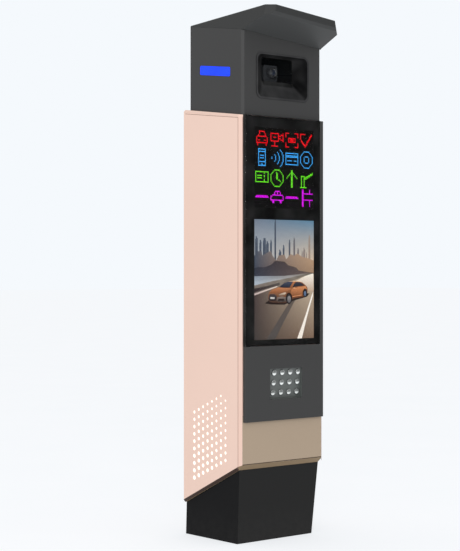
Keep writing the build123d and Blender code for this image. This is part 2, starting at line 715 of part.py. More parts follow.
def hinge_pins():
    """Three hinge pins, fixed in the lower knuckles, each with a domed head."""
    pins = []
    for z in HINGE_HEIGHTS:
        shank = rod(HINGE_PIN_R, (HINGE_X, HINGE_Y, z - KNUCKLE), (HINGE_X, HINGE_Y, z + KNUCKLE + 0.3))
        head = Pos(HINGE_X, HINGE_Y, z + KNUCKLE + 0.3) * (Sphere(5) & Pos(0, 0, 5) * Box(20, 20, 10))
        pins.append(shank + head)
    return pins


def lock_body():
    """The lock's bearing block on the inside of the door and its plate on the outside."""
    block = slab((LOCK_X - 24, LOCK_X + 24), (132.5, DOOR_SKIN[0]), (LOCK_Z - 24, LOCK_Z + 24))
    bushing = rod(LOCK_BARREL_R + 1, (LOCK_X, DOOR_SKIN[0], LOCK_Z), (LOCK_X, DOOR_SKIN[1], LOCK_Z))
    plate = slab((LOCK_X - 20, LOCK_X + 20), (DOOR_SKIN[1], 150), (LOCK_Z - 45, LOCK_Z + 45))
    plate = fillet(plate.edges().filter_by(Axis.Y), 8)
    bore = rod(LOCK_BARREL_R + RUNNING_GAP, (LOCK_X, 130, LOCK_Z), (LOCK_X, 150, LOCK_Z))
    return block + bushing + plate - bore


def lock_handle():
    """The wing handle and its barrel through the door."""
    barrel = rod(LOCK_BARREL_R, (LOCK_X, 132, LOCK_Z), (LOCK_X, 151, LOCK_Z))
    boss = rod(14, (LOCK_X, 151, LOCK_Z), (LOCK_X, 155, LOCK_Z))
    wing = slab((LOCK_X - 32, LOCK_X + 32), (152, 162), (LOCK_Z - 5, LOCK_Z + 5))
    wing = fillet(wing.edges().filter_by(Axis.Y), 4.5)
    return barrel + boss + wing


def lock_cam():
    """The disc on the barrel's inner end, with two crank pins."""
    disc = rod(22, (LOCK_X, 128, LOCK_Z), (LOCK_X, 132, LOCK_Z))
    for side in (-1, 1):
        x = LOCK_X + side * CRANK_R * cos(pi / 4)
        z = LOCK_Z - side * CRANK_R * sin(pi / 4)
        disc += rod(CRANK_PIN_R, (x, 121.5, z), (x, 128, z))
    return disc


def lock_rod(side):
    """A flat rod with a slotted end on a crank pin: side 1 goes up, side -1 goes down."""
    slot_z = LOCK_Z - side * CRANK_R * sin(pi / 4)
    middle = LOCK_X + side * ROD_OFFSET
    end = ROD_TOP if side > 0 else ROD_FOOT
    bar = slab((middle - ROD_HALF, middle + ROD_HALF), ROD_Y, (min(slot_z, end), max(slot_z, end)))
    plate = slab((middle - 11.6, middle + 11.6), ROD_Y, (slot_z - 9, slot_z + 9))
    slot = slab((middle - 6, middle + 6), ROD_Y, (slot_z - 4, slot_z + 4))
    return bar + plate - slot


def rod_guides():
    """Two guides on the door for each lock rod."""
    gap = 0.3
    guides = []
    for side, heights in ((1, (860, 1290)), (-1, (660, 230))):
        middle = LOCK_X + side * ROD_OFFSET
        for z in heights:
            span = (z - 8, z + 8)
            block = slab((middle - 10, middle + 10), (119, DOOR_SKIN[0]), span)
            width = (middle - ROD_HALF - gap, middle + ROD_HALF + gap)
            hole = slab(width, (ROD_Y[0] - gap, ROD_Y[1] + gap), span)
            guides.append(block - hole)
    return guides


# ---- Fan ----
def fan_frame():
    """The square fan frame on the door, with its motor boss and shaft."""
    back = DOOR_SKIN[0]
    front = back - FAN_DEPTH
    half = FAN_SIZE / 2
    frame = slab((FAN_X - half, FAN_X + half), (front, back), (FAN_Z - half, FAN_Z + half))
    frame = fillet(frame.edges().filter_by(Axis.Y), 5)
    frame -= rod(FAN_BORE_R, (FAN_X, front, FAN_Z), (FAN_X, back, FAN_Z))
    boss = rod(FAN_HUB_R, (FAN_X, back - 3, FAN_Z), (FAN_X, back, FAN_Z))
    shaft = rod(3, (FAN_X, front + 4, FAN_Z), (FAN_X, back, FAN_Z))
    for quarter in range(4):
        strut = Pos(FAN_BORE_R / 2, 0, 0) * Box(FAN_BORE_R + 2, 3, 5)
        frame += Pos(FAN_X, back - 1.5, FAN_Z) * Rot(0, 45 + 90 * quarter, 0) * strut
    return frame + boss + shaft


def fan_rotor():
    """The fan's hub and its pitched blades."""
    front = DOOR_SKIN[0] - FAN_DEPTH + 3
    back = DOOR_SKIN[0] - 4
    middle = (front + back) / 2
    rotor = rod(FAN_HUB_R, (FAN_X, front, FAN_Z), (FAN_X, back, FAN_Z))
    blade = Rot(35, 0, 0) * Box(FAN_BLADE_R - FAN_HUB_R, 1.6, 24)
    blade = Pos((FAN_HUB_R + FAN_BLADE_R) / 2 - 1, 0, 0) * blade
    for turn in range(FAN_BLADES):
        rotor += Pos(FAN_X, middle, FAN_Z) * Rot(0, 360 / FAN_BLADES * turn, 0) * blade
    reach = rod(FAN_BLADE_R, (FAN_X, front, FAN_Z), (FAN_X, back, FAN_Z))
    return (rotor & reach) - rod(3 + RUNNING_GAP, (FAN_X, front, FAN_Z), (FAN_X, back, FAN_Z))


def fan_guard():
    """The finger guard: four rings on two crossed wires."""
    y = DOOR_SKIN[0] - FAN_DEPTH - 1.2
    guard = Pos(FAN_X, y, FAN_Z) * Box(150, 2, 2).rotate(Axis.Y, 45)
    guard += Pos(FAN_X, y, FAN_Z) * Box(150, 2, 2).rotate(Axis.Y, -45)
    for radius in (16, 28, 40, 52):
        guard += Pos(FAN_X, y, FAN_Z) * Rot(90, 0, 0) * Torus(radius, 1)
    return guard


# ---- Equipment ----
def equipment_plate():
    """The plate across the body that carries the electrics."""
    return slab((SHEET - BODY_HALF, BODY_HALF - SHEET), (PLATE_Y, PLATE_Y + SHEET), PLATE_Z)


def power_supply():
    """A flat power supply case, left plain."""
    return slab((-150, -35), (PLATE_Y + SHEET, PLATE_Y + SHEET + 30), (490, 690))


def board_standoffs():
    """Four standoffs under the controller board."""
    y = PLATE_Y + SHEET
    return [rod(3, (x, y, z), (x, y + 10, z)) for x in (16, 124) for z in (506, 634)]


def controller_board():
    """The controller board with its heat sink and connectors."""
    y = PLATE_Y + SHEET + 10
    board = slab((10, 130), (y, y + 1.6), (500, 640))
    base = slab((45, 95), (y + 1.6, y + 5), (550, 600))
    fins = [slab((x, x + 2), (y + 5, y + 20), (550, 600)) for x in range(45, 95, 8)]
    sockets = [slab((20 + 26 * n, 40 + 26 * n), (y + 1.6, y + 14), (620, 638)) for n in range(4)]
    return board + base + fins + sockets


def din_rail():
    """A top-hat mounting rail."""
    y = PLATE_Y + SHEET
    web = slab((-110, 110), (y, y + 1), (BREAKER_Z - 12, BREAKER_Z + 12))
    legs = [slab((-110, 110), (y, y + 7.5), (BREAKER_Z + low, BREAKER_Z + low + 1)) for low in (-13, 12)]
    lips = [slab((-110, 110), (y + 6.5, y + 7.5), (BREAKER_Z + low, BREAKER_Z + low + 5))
            for low in (-17.5, 12.5)]
    return web + legs + lips


def circuit_breaker():
    """A two-pole circuit breaker with a slot for its toggle."""
    y = PLATE_Y + SHEET + 7.5
    width = (BREAKER_X - BREAKER_HALF, BREAKER_X + BREAKER_HALF)
    case = slab(width, (y, 100), (BREAKER_Z - 43, BREAKER_Z + 43))
    nose = slab(width, (100, 108), (BREAKER_Z - 22, BREAKER_Z + 22))
    slot = slab((BREAKER_X - 8, BREAKER_X + 8), (92, 108), (BREAKER_Z - 18, BREAKER_Z + 18))
    return case + nose - slot


def breaker_toggle():
    """The breaker's toggle, up in its on position."""
    hub = rod(7, (BREAKER_X - 7.5, 100, BREAKER_Z), (BREAKER_X + 7.5, 100, BREAKER_Z))
    arm = Pos(BREAKER_X, 100, BREAKER_Z) * Rot(35, 0, 0) * Pos(0, 9, 0) * Box(15, 18, 5)
    return hub + arm


def terminal_blocks():
    """A row of clip-on terminal blocks."""
    y = PLATE_Y + SHEET + 7.5
    return [slab((x, x + 6), (y, y + 38), (BREAKER_Z - 25, BREAKER_Z + 25)) for x in range(0, 78, 7)]


def write(name, shape):
    """Write one node; a list of shapes is a group of separate solids."""
    if isinstance(shape, list):
        solids = [solid for part in shape for solid in part.solids()]
        shape = Compound(children=solids)
    export_step(shape, os.path.join("parts", name + ".step"))


os.makedirs("parts", exist_ok=True)

NODES = {
    "anchor_plate": anchor_plate(),
    "plinth": plinth(),
    "skirt_trim": skirt_trim(),
    "base_deck": base_deck(),
    "cable_glands": cable_glands(),
    "earth_stud": earth_stud(),
    "corner_posts": both_sides(corner_post()),
    "rear_posts": both_sides(rear_post()),
    "side_panel_right": side_panel(),
    "side_panel_left": mirror(side_panel(), about=Plane.YZ),
    "vent_diffusers": both_sides(vent_diffuser()),
    "lower_front_panel": lower_front_panel(),
    "rear_lintel": rear_lintel(),
    "rear_sill": rear_sill(),
    "top_cap": top_cap(),
    "front_cover": front_cover(),
    "fill_light_tray": fill_light_tray(),
    "fill_light_lenses": fill_light_lenses(),
    "fill_light_board": fill_light_board(),
    "display_rails": display_rails(),
    "display_glass": display_glass(),
    "led_modules": led_modules(),
    "lcd_panel": lcd_panel(),
    "display_straps": display_straps(),
    "speaker": speaker(),
    "head_housing": head_housing(),
    "head_rear_cover": head_rear_cover(),
    "head_cover_screws": head_cover_screws(),
    "hood": hood(),
    "camera_bezel": camera_bezel(),
    "camera_window": camera_window(),
    "side_light_right": side_light(),
    "side_light_left": mirror(side_light(), about=Plane.YZ),
    "side_light_boards": both_sides(side_light_board()),
    "camera_shelf": camera_shelf(),
    "camera_yoke": camera_yoke(),
    "camera_body": camera_body(),
    "camera_lens": camera_lens(),
    "equipment_plate": equipment_plate(),
    "power_supply": power_supply(),
    "board_standoffs": board_standoffs(),
    "controller_board": controller_board(),
    "din_rail": din_rail(),
    "circuit_breaker": circuit_breaker(),
    "breaker_toggle": breaker_toggle(),
    "terminal_blocks": terminal_blocks(),
    "hinge_frame_leaves": hinge_frame_leaves(),
    "hinge_pins": hinge_pins(),
    "rear_door": rear_door(),
    "door_gasket": door_gasket(),
    "hinge_door_leaves": hinge_door_leaves(),
    "lock_body": lock_body(),
    "lock_handle": lock_handle(),
    "lock_cam": lock_cam(),
    "lock_rod_upper": lock_rod(1),
    "lock_rod_lower": lock_rod(-1),
    "rod_guides": rod_guides(),
    "fan_frame": fan_frame(),
    "fan_rotor": fan_rotor(),
    "fan_guard": fan_guard(),
}

for node, shape in NODES.items():
    write(node, shape)
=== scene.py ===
"""Dress the parking pay station: finishes, displays, lights and the small pieces of its sub-assemblies."""
import logging
import math
from dataclasses import dataclass, field
from enum import Enum
from typing import Iterable, Sequence

import bmesh
import bpy
from mathutils import Matrix, Vector


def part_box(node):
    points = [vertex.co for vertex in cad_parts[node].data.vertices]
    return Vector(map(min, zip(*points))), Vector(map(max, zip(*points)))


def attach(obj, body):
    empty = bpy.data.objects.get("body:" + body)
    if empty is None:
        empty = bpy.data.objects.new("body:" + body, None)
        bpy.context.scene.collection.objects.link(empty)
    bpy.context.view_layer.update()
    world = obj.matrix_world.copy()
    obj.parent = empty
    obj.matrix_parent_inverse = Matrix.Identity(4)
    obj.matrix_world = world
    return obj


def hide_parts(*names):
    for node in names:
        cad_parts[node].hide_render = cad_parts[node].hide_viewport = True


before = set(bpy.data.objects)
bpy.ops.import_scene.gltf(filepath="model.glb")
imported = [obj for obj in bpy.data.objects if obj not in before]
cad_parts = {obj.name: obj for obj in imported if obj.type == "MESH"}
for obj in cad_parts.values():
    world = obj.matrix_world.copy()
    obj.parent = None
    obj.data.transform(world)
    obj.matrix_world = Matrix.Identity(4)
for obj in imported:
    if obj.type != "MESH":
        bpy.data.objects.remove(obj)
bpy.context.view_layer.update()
LOG = logging.getLogger("pay_station")

MM = 0.001
WELD = 2e-6
FLAT = math.radians(0.6)
Colour = tuple[float, float, float]
Point = tuple[float, float]
Rectangle = tuple[float, float, float, float]


def paint(red: int, green: int, blue: int) -> Colour:
    """Turn an eight bit display colour into the linear light that shaders use.

    Args:
        red: Red from 0 to 255.
        green: Green from 0 to 255.
        blue: Blue from 0 to 255.

    Returns:
        The linear colour.
    """
    def linear(level: int) -> float:
        """One channel, made linear."""
        share = level / 255
        return share / 12.92 if share <= 0.04045 else ((share + 0.055) / 1.055) ** 2.4
    return linear(red), linear(green), linear(blue)


# ---- Node graphs ----
class Graph:
    """A short way to add and join nodes in one node tree."""

    def __init__(self, tree: bpy.types.NodeTree) -> None:
        """Keep the tree that nodes are added to."""
        self.tree = tree

    def add(self, kind: str, **settings: object) -> bpy.types.Node:
        """Add a node and set its own properties.

        Args:
            kind: Node type without its ShaderNode prefix.
            settings: Properties of the node.

        Returns:
            The new node.
        """
        node = self.tree.nodes.new("ShaderNode" + kind)
        for name, value in settings.items():
            setattr(node, name, value)
        return node

    def feed(self, socket: bpy.types.NodeSocket, value: object) -> None:
        """Join a socket to another one, or set its own value.

        Args:
            socket: The input that is fed.
            value: A node's output, a number, a vector, or a colour of three levels.
        """
        if isinstance(value, bpy.types.NodeSocket):
            self.tree.links.new(value, socket)
        elif isinstance(value, tuple) and len(value) == 3 and socket.type == "RGBA":
            socket.default_value = (*value, 1.0)
        else:
            socket.default_value = value

    def fill(self, node: bpy.types.Node, **values: object) -> None:
        """Feed a node's inputs, named with underscores for spaces."""
        for name, value in values.items():
            self.feed(node.inputs[name.replace("_", " ")], value)

    def maths(self, operation: str, *values: object) -> bpy.types.NodeSocket:
        """Add a Math node.

        Args:
            operation: What the node does.
            values: Its numbers, or the sockets they come from.

        Returns:
            The node's result.
        """
        node = self.add("Math", operation=operation)
        for socket, value in zip(node.inputs, values):
            self.feed(socket, value)
        return node.outputs[0]

    def spread(self, value: object, low: object, high: object, to_low: float = 0.0, to_high: float = 1.0,
               ) -> bpy.types.NodeSocket:
        """Map a range of values on another, held at its ends.

        Args:
            value: What is mapped.
            low: Start of the range it comes from.
            high: End of that range.
            to_low: What low becomes.
            to_high: What high becomes.

        Returns:
            The mapped value.
        """
        node = self.add("MapRange")
        self.fill(node, Value=value, From_Min=low, From_Max=high, To_Min=to_low, To_Max=to_high)
        return node.outputs["Result"]

    def blend(self, factor: object, first: object, second: object, how: str = "MIX") -> bpy.types.NodeSocket:
        """Mix two colours.

        Args:
            factor: Share of the second colour.
            first: The colour at 0.
            second: The colour at 1.
            how: The way of mixing.

        Returns:
            The mixed colour.
        """
        node = self.add("Mix", data_type="RGBA", blend_type=how)
        for socket, value in zip((node.inputs["Factor"], node.inputs[6], node.inputs[7]),
                                 (factor, first, second)):
            self.feed(socket, value)
        return node.outputs[2]

    def noise(self, place: object, scale: object, detail: float = 3.0) -> bpy.types.NodeSocket:
        """Add a noise pattern.

        Args:
            place: Where a surface point is.
            scale: How fine the pattern is.
            detail: How many finer layers it has.

        Returns:
            The pattern's value.
        """
        node = self.add("TexNoise")
        self.fill(node, Vector=place, Scale=scale, Detail=detail)
        return node.outputs["Fac"]

    def split(self, vector: bpy.types.NodeSocket) -> bpy.types.NodeOutputs:
        """Take a vector apart.

        Args:
            vector: What is taken apart.

        Returns:
            Its X, Y and Z.
        """
        node = self.add("SeparateXYZ")
        self.feed(node.inputs[0], vector)
        return node.outputs

    def join(self, *parts: object) -> bpy.types.NodeSocket:
        """Put X, Y and Z together.

        Args:
            parts: The three numbers, or the sockets they come from.

        Returns:
            The vector.
        """
        node = self.add("CombineXYZ")
        for socket, part in zip(node.inputs, parts):
            self.feed(socket, part)
        return node.outputs[0]

    def shaded(self, tone: object, level: bpy.types.NodeSocket) -> bpy.types.NodeSocket:
        """Multiply a colour by a level.

        Args:
            tone: The colour.
            level: The level, where 1 leaves the colour alone.

        Returns:
            The colour, darker or lighter.
        """
        grey = self.add("CombineColor")
        for socket in grey.inputs:
            self.feed(socket, level)
        return self.blend(1.0, tone, grey.outputs[0], "MULTIPLY")

    def place(self) -> bpy.types.NodeSocket:
        """Where a surface point is on its object, in metres."""
        return self.add("TexCoord").outputs["Object"]

    def normal(self) -> bpy.types.NodeOutputs:
        """The X, Y and Z of the way a surface point faces."""
        return self.split(self.add("NewGeometry").outputs["Normal"])


class GroupKind(Enum):
    """The effects that more than one finish uses."""

    POWDER = "powder_coat_grain"
    BRUSHED = "brushed_lines"
    DUST = "settled_dust"
    MOULDED = "moulded_grain"
    DOTS = "dot_grid"
    CORNERS = "four_corner_blend"


SURFACE_OUTPUTS = (("Colour", "Color"), ("Roughness", "Float"), ("Height", "Float"))


class GroupShelf:
    """The shader node groups, each built once."""

    def __init__(self) -> None:
        """Start with no group built."""
        self.built: dict[GroupKind, bpy.types.NodeTree] = {}

    def get(self, kind: GroupKind) -> bpy.types.NodeTree:
        """Give a group, and build it the first time.

        Args:
            kind: The effect that is wanted.

        Returns:
            The group.
        """
        if kind not in self.built:
            makers = {
                GroupKind.POWDER: self.powder, GroupKind.BRUSHED: self.brushed, GroupKind.DUST: self.dust,
                GroupKind.MOULDED: self.moulded, GroupKind.DOTS: self.dots, GroupKind.CORNERS: self.corners,
            }
            self.built[kind] = makers[kind](kind.value)
        return self.built[kind]

    @staticmethod
    def empty(name: str, inputs: Sequence[tuple[str, str, object]], outputs: Sequence[tuple[str, str]],
              ) -> tuple[Graph, bpy.types.NodeOutputs, bpy.types.Node]:
        """Make a group with its sockets.

        Args:
            name: The group's name.
            inputs: Name, kind (Float or Color) and first value of each input.
            outputs: Name and kind of each output.

        Returns:
            The graph, what is given to the group, and the node that takes its outputs.
        """
        tree = bpy.data.node_groups.new(name, "ShaderNodeTree")
        for title, kind, value in inputs:
            socket = tree.interface.new_socket(title, in_out="INPUT", socket_type="NodeSocket" + kind)
            socket.default_value = (*value, 1.0) if kind == "Color" else value
        for title, kind in outputs:
            tree.interface.new_socket(title, in_out="OUTPUT", socket_type="NodeSocket" + kind)
        return Graph(tree), tree.nodes.new("NodeGroupInput").outputs, tree.nodes.new("NodeGroupOutput")

    def powder(self, name: str) -> bpy.types.NodeTree:
        """Sprayed powder coat: orange peel, fine grain and slow changes of tone.

        Args:
            name: The group's name.

        Returns:
            The group.
        """
        graph, given, made = self.empty(
            name,
            [("Colour", "Color", (0.5, 0.5, 0.5)), ("Variation", "Float", 0.05), ("Roughness", "Float", 0.4),
             ("Grain Scale", "Float", 700.0)],
            SURFACE_OUTPUTS)
        cloud_scale, peel_share, roughness_swing = 4.0, 0.25, 0.16
        peel_height, grain_height = 0.7, 0.3
        where = graph.place()
        cloud = graph.noise(where, cloud_scale, 2.0)
        peel = graph.noise(where, graph.maths("MULTIPLY", given["Grain Scale"], peel_share), 1.0)
        grain = graph.noise(where, given["Grain Scale"], 2.0)
        swings = [graph.maths("MULTIPLY", graph.maths("SUBTRACT", pattern, 0.5), given["Variation"])
                  for pattern in (cloud, grain)]
        level = graph.maths("ADD", graph.maths("ADD", *swings), 1.0)
        rough = graph.maths("MULTIPLY", graph.maths("SUBTRACT", cloud, 0.5), roughness_swing)
        graph.fill(
            made, Colour=graph.shaded(given["Colour"], level),
            Roughness=graph.maths("ADD", given["Roughness"], rough),
            Height=graph.maths("ADD", graph.maths("MULTIPLY", peel, peel_height),
                               graph.maths("MULTIPLY", grain, grain_height)))
        return graph.tree

    def brushed(self, name: str) -> bpy.types.NodeTree:
        """Fine lines along X: a stretched noise for tone, roughness and height.

        Args:
            name: The group's name.

        Returns:
            The group.
        """
        graph, given, made = self.empty(
            name,
            [("Colour", "Color", (0.6, 0.6, 0.6)), ("Roughness", "Float", 0.3), ("Stretch", "Float", 40.0)],
            SURFACE_OUTPUTS)
        line_scale, cloud_scale, groove, roughness_swing = 2200.0, 30.0, (0.2, 0.2, 0.2), 0.2
        where = graph.split(graph.place())
        stretched = graph.join(graph.maths("DIVIDE", where["X"], given["Stretch"]), where["Y"], where["Z"])
        lines = graph.noise(stretched, line_scale, 2.0)
        cloud = graph.noise(graph.place(), cloud_scale)
        uneven = graph.maths("ADD", lines, graph.maths("SUBTRACT", cloud, 1.0))
        graph.fill(
            made, Colour=graph.blend(graph.spread(lines, 0.3, 0.7, 0.0, 0.25), given["Colour"], groove),
            Roughness=graph.maths("ADD", given["Roughness"], graph.maths("MULTIPLY", uneven,
                                                                         roughness_swing)),
            Height=lines)
        return graph.tree

    def dust(self, name: str) -> bpy.types.NodeTree:
        """Dust on faces that look up, and splashes near the ground.

        Args:
            name: The group's name.

        Returns:
            The group.
        """
        graph, given, made = self.empty(
            name,
            [("Colour", "Color", (0.5, 0.5, 0.5)), ("Dust", "Color", (0.45, 0.42, 0.38)),
             ("Amount", "Float", 0.2),
             ("Splash Height", "Float", 0.25)],
            [("Colour", "Color")])
        splash_share, cloud_scale = 0.8, 45.0
        where = graph.place()
        upward = graph.spread(graph.normal()["Z"], 0.3, 1.0)
        height = graph.maths("DIVIDE", graph.split(where)["Z"], given["Splash Height"])
        low = graph.spread(graph.maths("SUBTRACT", 1.0, height), 0.0, 1.0)
        settled = graph.maths("MAXIMUM", upward, graph.maths("MULTIPLY", low, splash_share))
        cloud = graph.spread(graph.noise(where, cloud_scale, 6.0), 0.35, 0.75, 0.2, 1.0)
        mask = graph.maths("MULTIPLY", graph.maths("MULTIPLY", settled, cloud), given["Amount"])
        graph.fill(made, Colour=graph.blend(mask, given["Colour"], given["Dust"]))
        return graph.tree

    def moulded(self, name: str) -> bpy.types.NodeTree:
        """Spark-eroded grain of moulded plastic.

        Args:
            name: The group's name.

        Returns:
            The group.
        """
        graph, given, made = self.empty(
            name,
            [("Colour", "Color", (0.1, 0.1, 0.1)), ("Roughness", "Float", 0.5), ("Scale", "Float", 900.0)],
            SURFACE_OUTPUTS)
        cloud_scale, bloom = 12.0, (0.25, 0.25, 0.25)
        where = graph.place()
        cells = graph.add("TexVoronoi", feature="SMOOTH_F1")
        graph.fill(cells, Vector=where, Scale=given["Scale"])
        cloud = graph.noise(where, cloud_scale, 2.0)
        uneven = graph.spread(cloud, 0.3, 0.7, -0.06, 0.06)
        graph.fill(
            made, Colour=graph.blend(graph.spread(cloud, 0.3, 0.7, 0.0, 0.12), given["Colour"], bloom),
            Roughness=graph.maths("ADD", given["Roughness"], uneven), Height=cells.outputs["Distance"])
        return graph.tree

    def dots(self, name: str) -> bpy.types.NodeTree:
        """A square grid of round dots in the XZ plane.

        Args:
            name: The group's name.

        Returns:
            The group.
        """
        graph, given, made = self.empty(
            name, [("Pitch", "Float", 0.004), ("Radius Share", "Float", 0.38), ("Offset X", "Float", 0.0),
                   ("Offset Z", "Float", 0.0)],
            [("Mask", "Float")])
        where = graph.split(graph.place())
        squares = []
        for axis in "XZ":
            offset = graph.maths("SUBTRACT", where[axis], given[f"Offset {axis}"])
            centred = graph.maths("SUBTRACT", graph.maths("FRACT",
                                                          graph.maths("DIVIDE", offset, given["Pitch"])),
                                                          0.5)
            squares.append(graph.maths("MULTIPLY", centred, centred))
        distance = graph.maths("SQRT", graph.maths("ADD", *squares))
        graph.fill(made, Mask=graph.maths("LESS_THAN", distance, given["Radius Share"]))
        return graph.tree

    def corners(self, name: str) -> bpy.types.NodeTree:
        """A colour blended between the four corners of an upright rectangle, with a little grain.

        Args:
            name: The group's name.

        Returns:
            The group.
        """
        graph, given, made = self.empty(
            name,
            [("Low Left", "Color", (0, 0, 0)), ("Low Right", "Color", (0, 0, 0)),
             ("High Left", "Color", (1, 1, 1)),
             ("High Right", "Color", (1, 1, 1)), ("Left", "Float", 0.0), ("Right", "Float", 1.0),
             ("Low", "Float", 0.0), ("High", "Float", 1.0), ("Grain", "Float", 0.0),
             ("Streak", "Float", 1.0)],
            [("Colour", "Color")])
        grain_scale = 90.0
        where = graph.split(graph.place())
        across = graph.spread(where["X"], given["Left"], given["Right"])
        upwards = graph.spread(where["Z"], given["Low"], given["High"])
        rows = [graph.blend(across, given[f"{row} Left"], given[f"{row} Right"]) for row in ("Low", "High")]
        stretched = graph.join(graph.maths("DIVIDE", where["X"], given["Streak"]), 0.0, where["Z"])
        grain = graph.maths("SUBTRACT", graph.noise(stretched, grain_scale, 5.0), 0.5)
        level = graph.maths("ADD", graph.maths("MULTIPLY", grain, given["Grain"]), 1.0)
        graph.fill(made, Colour=graph.shaded(graph.blend(upwards, *rows), level))
        return graph.tree


GROUPS = GroupShelf()


# ---- Finishes ----
class Shader:
    """One material with its Principled shader, being filled in."""

    def __init__(self, name: str) -> None:
        """Make an empty node material.

        Args:
            name: The material's name.
        """
        self.made = bpy.data.materials.new(name)
        self.made.use_nodes = True
        self.graph = Graph(self.made.node_tree)
        self.surface = self.made.node_tree.nodes["Principled BSDF"]

    def set(self, **values: object) -> None:
        """Set or feed sockets of the shader, named with underscores."""
        self.graph.fill(self.surface, **values)

    def group(self, kind: GroupKind, **values: object) -> bpy.types.NodeOutputs:
        """Place a shared group with its own values.

        Args:
            kind: The group's effect.
            values: Its inputs, named with underscores.

        Returns:
            The group's outputs.
        """
        node = self.graph.add("Group", node_tree=GROUPS.get(kind))
        self.graph.fill(node, **values)
        return node.outputs

    def relief(self, height: bpy.types.NodeSocket, depth_mm: float) -> None:
        """Raise the surface by a height pattern.

        Args:
            height: The pattern.
            depth_mm: How high it stands.
        """
        bump = self.graph.add("Bump")
        self.graph.fill(bump, Strength=1.0, Distance=depth_mm * MM, Height=height)
        self.set(Normal=bump.outputs["Normal"])


@dataclass(frozen=True)
class Finish:
    """What a surface is, made into a material the first time it's asked for."""

    name: str

    def material(self) -> bpy.types.Material:
        """Give the finish's material, and build it if it isn't there.

        Returns:
            The material.
        """
        if self.name not in bpy.data.materials:
            self.fill(Shader(self.name))
        return bpy.data.materials[self.name]

    def fill(self, shader: Shader) -> None:
        """Fill in the new material."""
        raise NotImplementedError


@dataclass(frozen=True)
class PowderCoat(Finish):
    """Sprayed and baked paint on sheet metal."""

    colour: Colour
    roughness: float = 0.42
    variation: float = 0.04
    grain_scale: float = 700.0
    relief_mm: float = 0.03
    specular: float = 0.4
    dust: float = 0.08
    splash_height: float = 0.2
    # Painted shade on faces that look sideways, and painted light on faces that look down.
    painted_side_shade: Colour | None = None
    side_shade_from: float = 0.45
    side_shade_to: float = 0.6
    painted_under_light: Colour | None = None
    under_light_from: float = -0.6
    under_light_to: float = -0.75

    def tone(self, graph: Graph) -> object:
        """The coat's colour, with painted shade on faces that look sideways and painted light on faces that
        look down, where it has them.

        Args:
            graph: The material's nodes.

        Returns:
            The one colour, or the socket of the blended ones.
        """
        tone: object = self.colour
        if self.painted_side_shade is not None:
            # Painted shade on faces that look sideways.
            sideways = graph.maths("ABSOLUTE", graph.normal()["X"])
            tone = graph.blend(graph.spread(sideways, self.side_shade_from, self.side_shade_to), tone, self.painted_side_shade)
        if self.painted_under_light is not None:
            # Painted light on faces that look down.
            downwards = graph.spread(graph.normal()["Z"], self.under_light_to, self.under_light_from, 1.0, 0.0)
            tone = graph.blend(downwards, tone, self.painted_under_light)
        return tone

    def fill(self, shader: Shader) -> None:
        """Fill in the paint and the dust on it.

        Args:
            shader: The new material.
        """
        coat = shader.group(GroupKind.POWDER, Colour=self.tone(shader.graph), Variation=self.variation,
                            Roughness=self.roughness, Grain_Scale=self.grain_scale)
        dust = shader.group(GroupKind.DUST, Colour=coat["Colour"], Amount=self.dust,
                            Splash_Height=self.splash_height)
        shader.set(Base_Color=dust["Colour"], Roughness=coat["Roughness"], Specular_IOR_Level=self.specular)
        shader.relief(coat["Height"], self.relief_mm)


@dataclass(frozen=True)
class BareMetal(Finish):
    """Brushed, plated or turned metal."""

    colour: Colour
    roughness: float = 0.3
    stretch: float = 40.0
    relief_mm: float = 0.02

    def fill(self, shader: Shader) -> None:
        """Fill in the metal.

        Args:
            shader: The new material.
        """
        lines = shader.group(GroupKind.BRUSHED, Colour=self.colour, Roughness=self.roughness,
                             Stretch=self.stretch)
        shader.set(Base_Color=lines["Colour"], Roughness=lines["Roughness"], Metallic=1.0)
        shader.relief(lines["Height"], self.relief_mm)


@dataclass(frozen=True)
class Moulded(Finish):
    """Moulded plastic or rubber with a fine grain."""

    colour: Colour
    roughness: float = 0.5
    scale: float = 900.0
    specular: float = 0.4
    coat: float = 0.0
    coat_roughness: float = 0.08
    relief_mm: float = 0.03

    def tone(self, graph: Graph) -> object:
        """The plastic's colour."""
        return self.colour

    def fill(self, shader: Shader) -> None:
        """Fill in the plastic.

        Args:
            shader: The new material.
        """
        grain = shader.group(GroupKind.MOULDED, Colour=self.tone(shader.graph), Roughness=self.roughness,
                             Scale=self.scale)
        shader.set(Base_Color=grain["Colour"], Roughness=grain["Roughness"], Specular_IOR_Level=self.specular,
                   Coat_Weight=self.coat, Coat_Roughness=self.coat_roughness)
        shader.relief(grain["Height"], self.relief_mm)


@dataclass(frozen=True)
class NicheShadeAndLight(Moulded):
    """The niche's moulding with painted shade: near black on its walls, with painted light on its floor and
    on the lip that stands proud of the head.
    """

    painted_light_colour: Colour = (0.03, 0.03, 0.03)
    rim_depth: float = 0.5 * MM

    def tone(self, graph: Graph) -> object:
        """The colour of painted shade, with the colour of painted light on the floor and the lip.

        Args:
            graph: The material's nodes.

        Returns:
            The blended colour.
        """
        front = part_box("camera_bezel")[0].y
        depth = graph.split(graph.place())["Y"]
        proud = graph.spread(depth, front + self.rim_depth / 2, front + self.rim_depth, 1.0, 0.0)
        floor = graph.spread(graph.normal()["Z"], 0.3, 0.6)
        return graph.blend(proud, graph.blend(floor, self.colour, self.painted_light_colour), self.painted_light_colour)


@dataclass(frozen=True)
class Glazing(Finish):
    """Clear or tinted glass with a faint uneven film."""

    tint: Colour
    transmission: float = 1.0
    alpha: float = 1.0
    ior: float = 1.45
    specular: float = 0.5
    film_scale: float = 25.0

    def fill(self, shader: Shader) -> None:
        """Fill in the glass and its film.

        Args:
            shader: The new material.
        """
        film = shader.graph.noise(shader.graph.place(), self.film_scale, 4.0)
        shader.set(Base_Color=self.tint, Roughness=shader.graph.spread(film, 0.3, 0.7, 0.01, 0.05),
                   IOR=self.ior,
                   Transmission_Weight=self.transmission, Alpha=self.alpha, Specular_IOR_Level=self.specular)


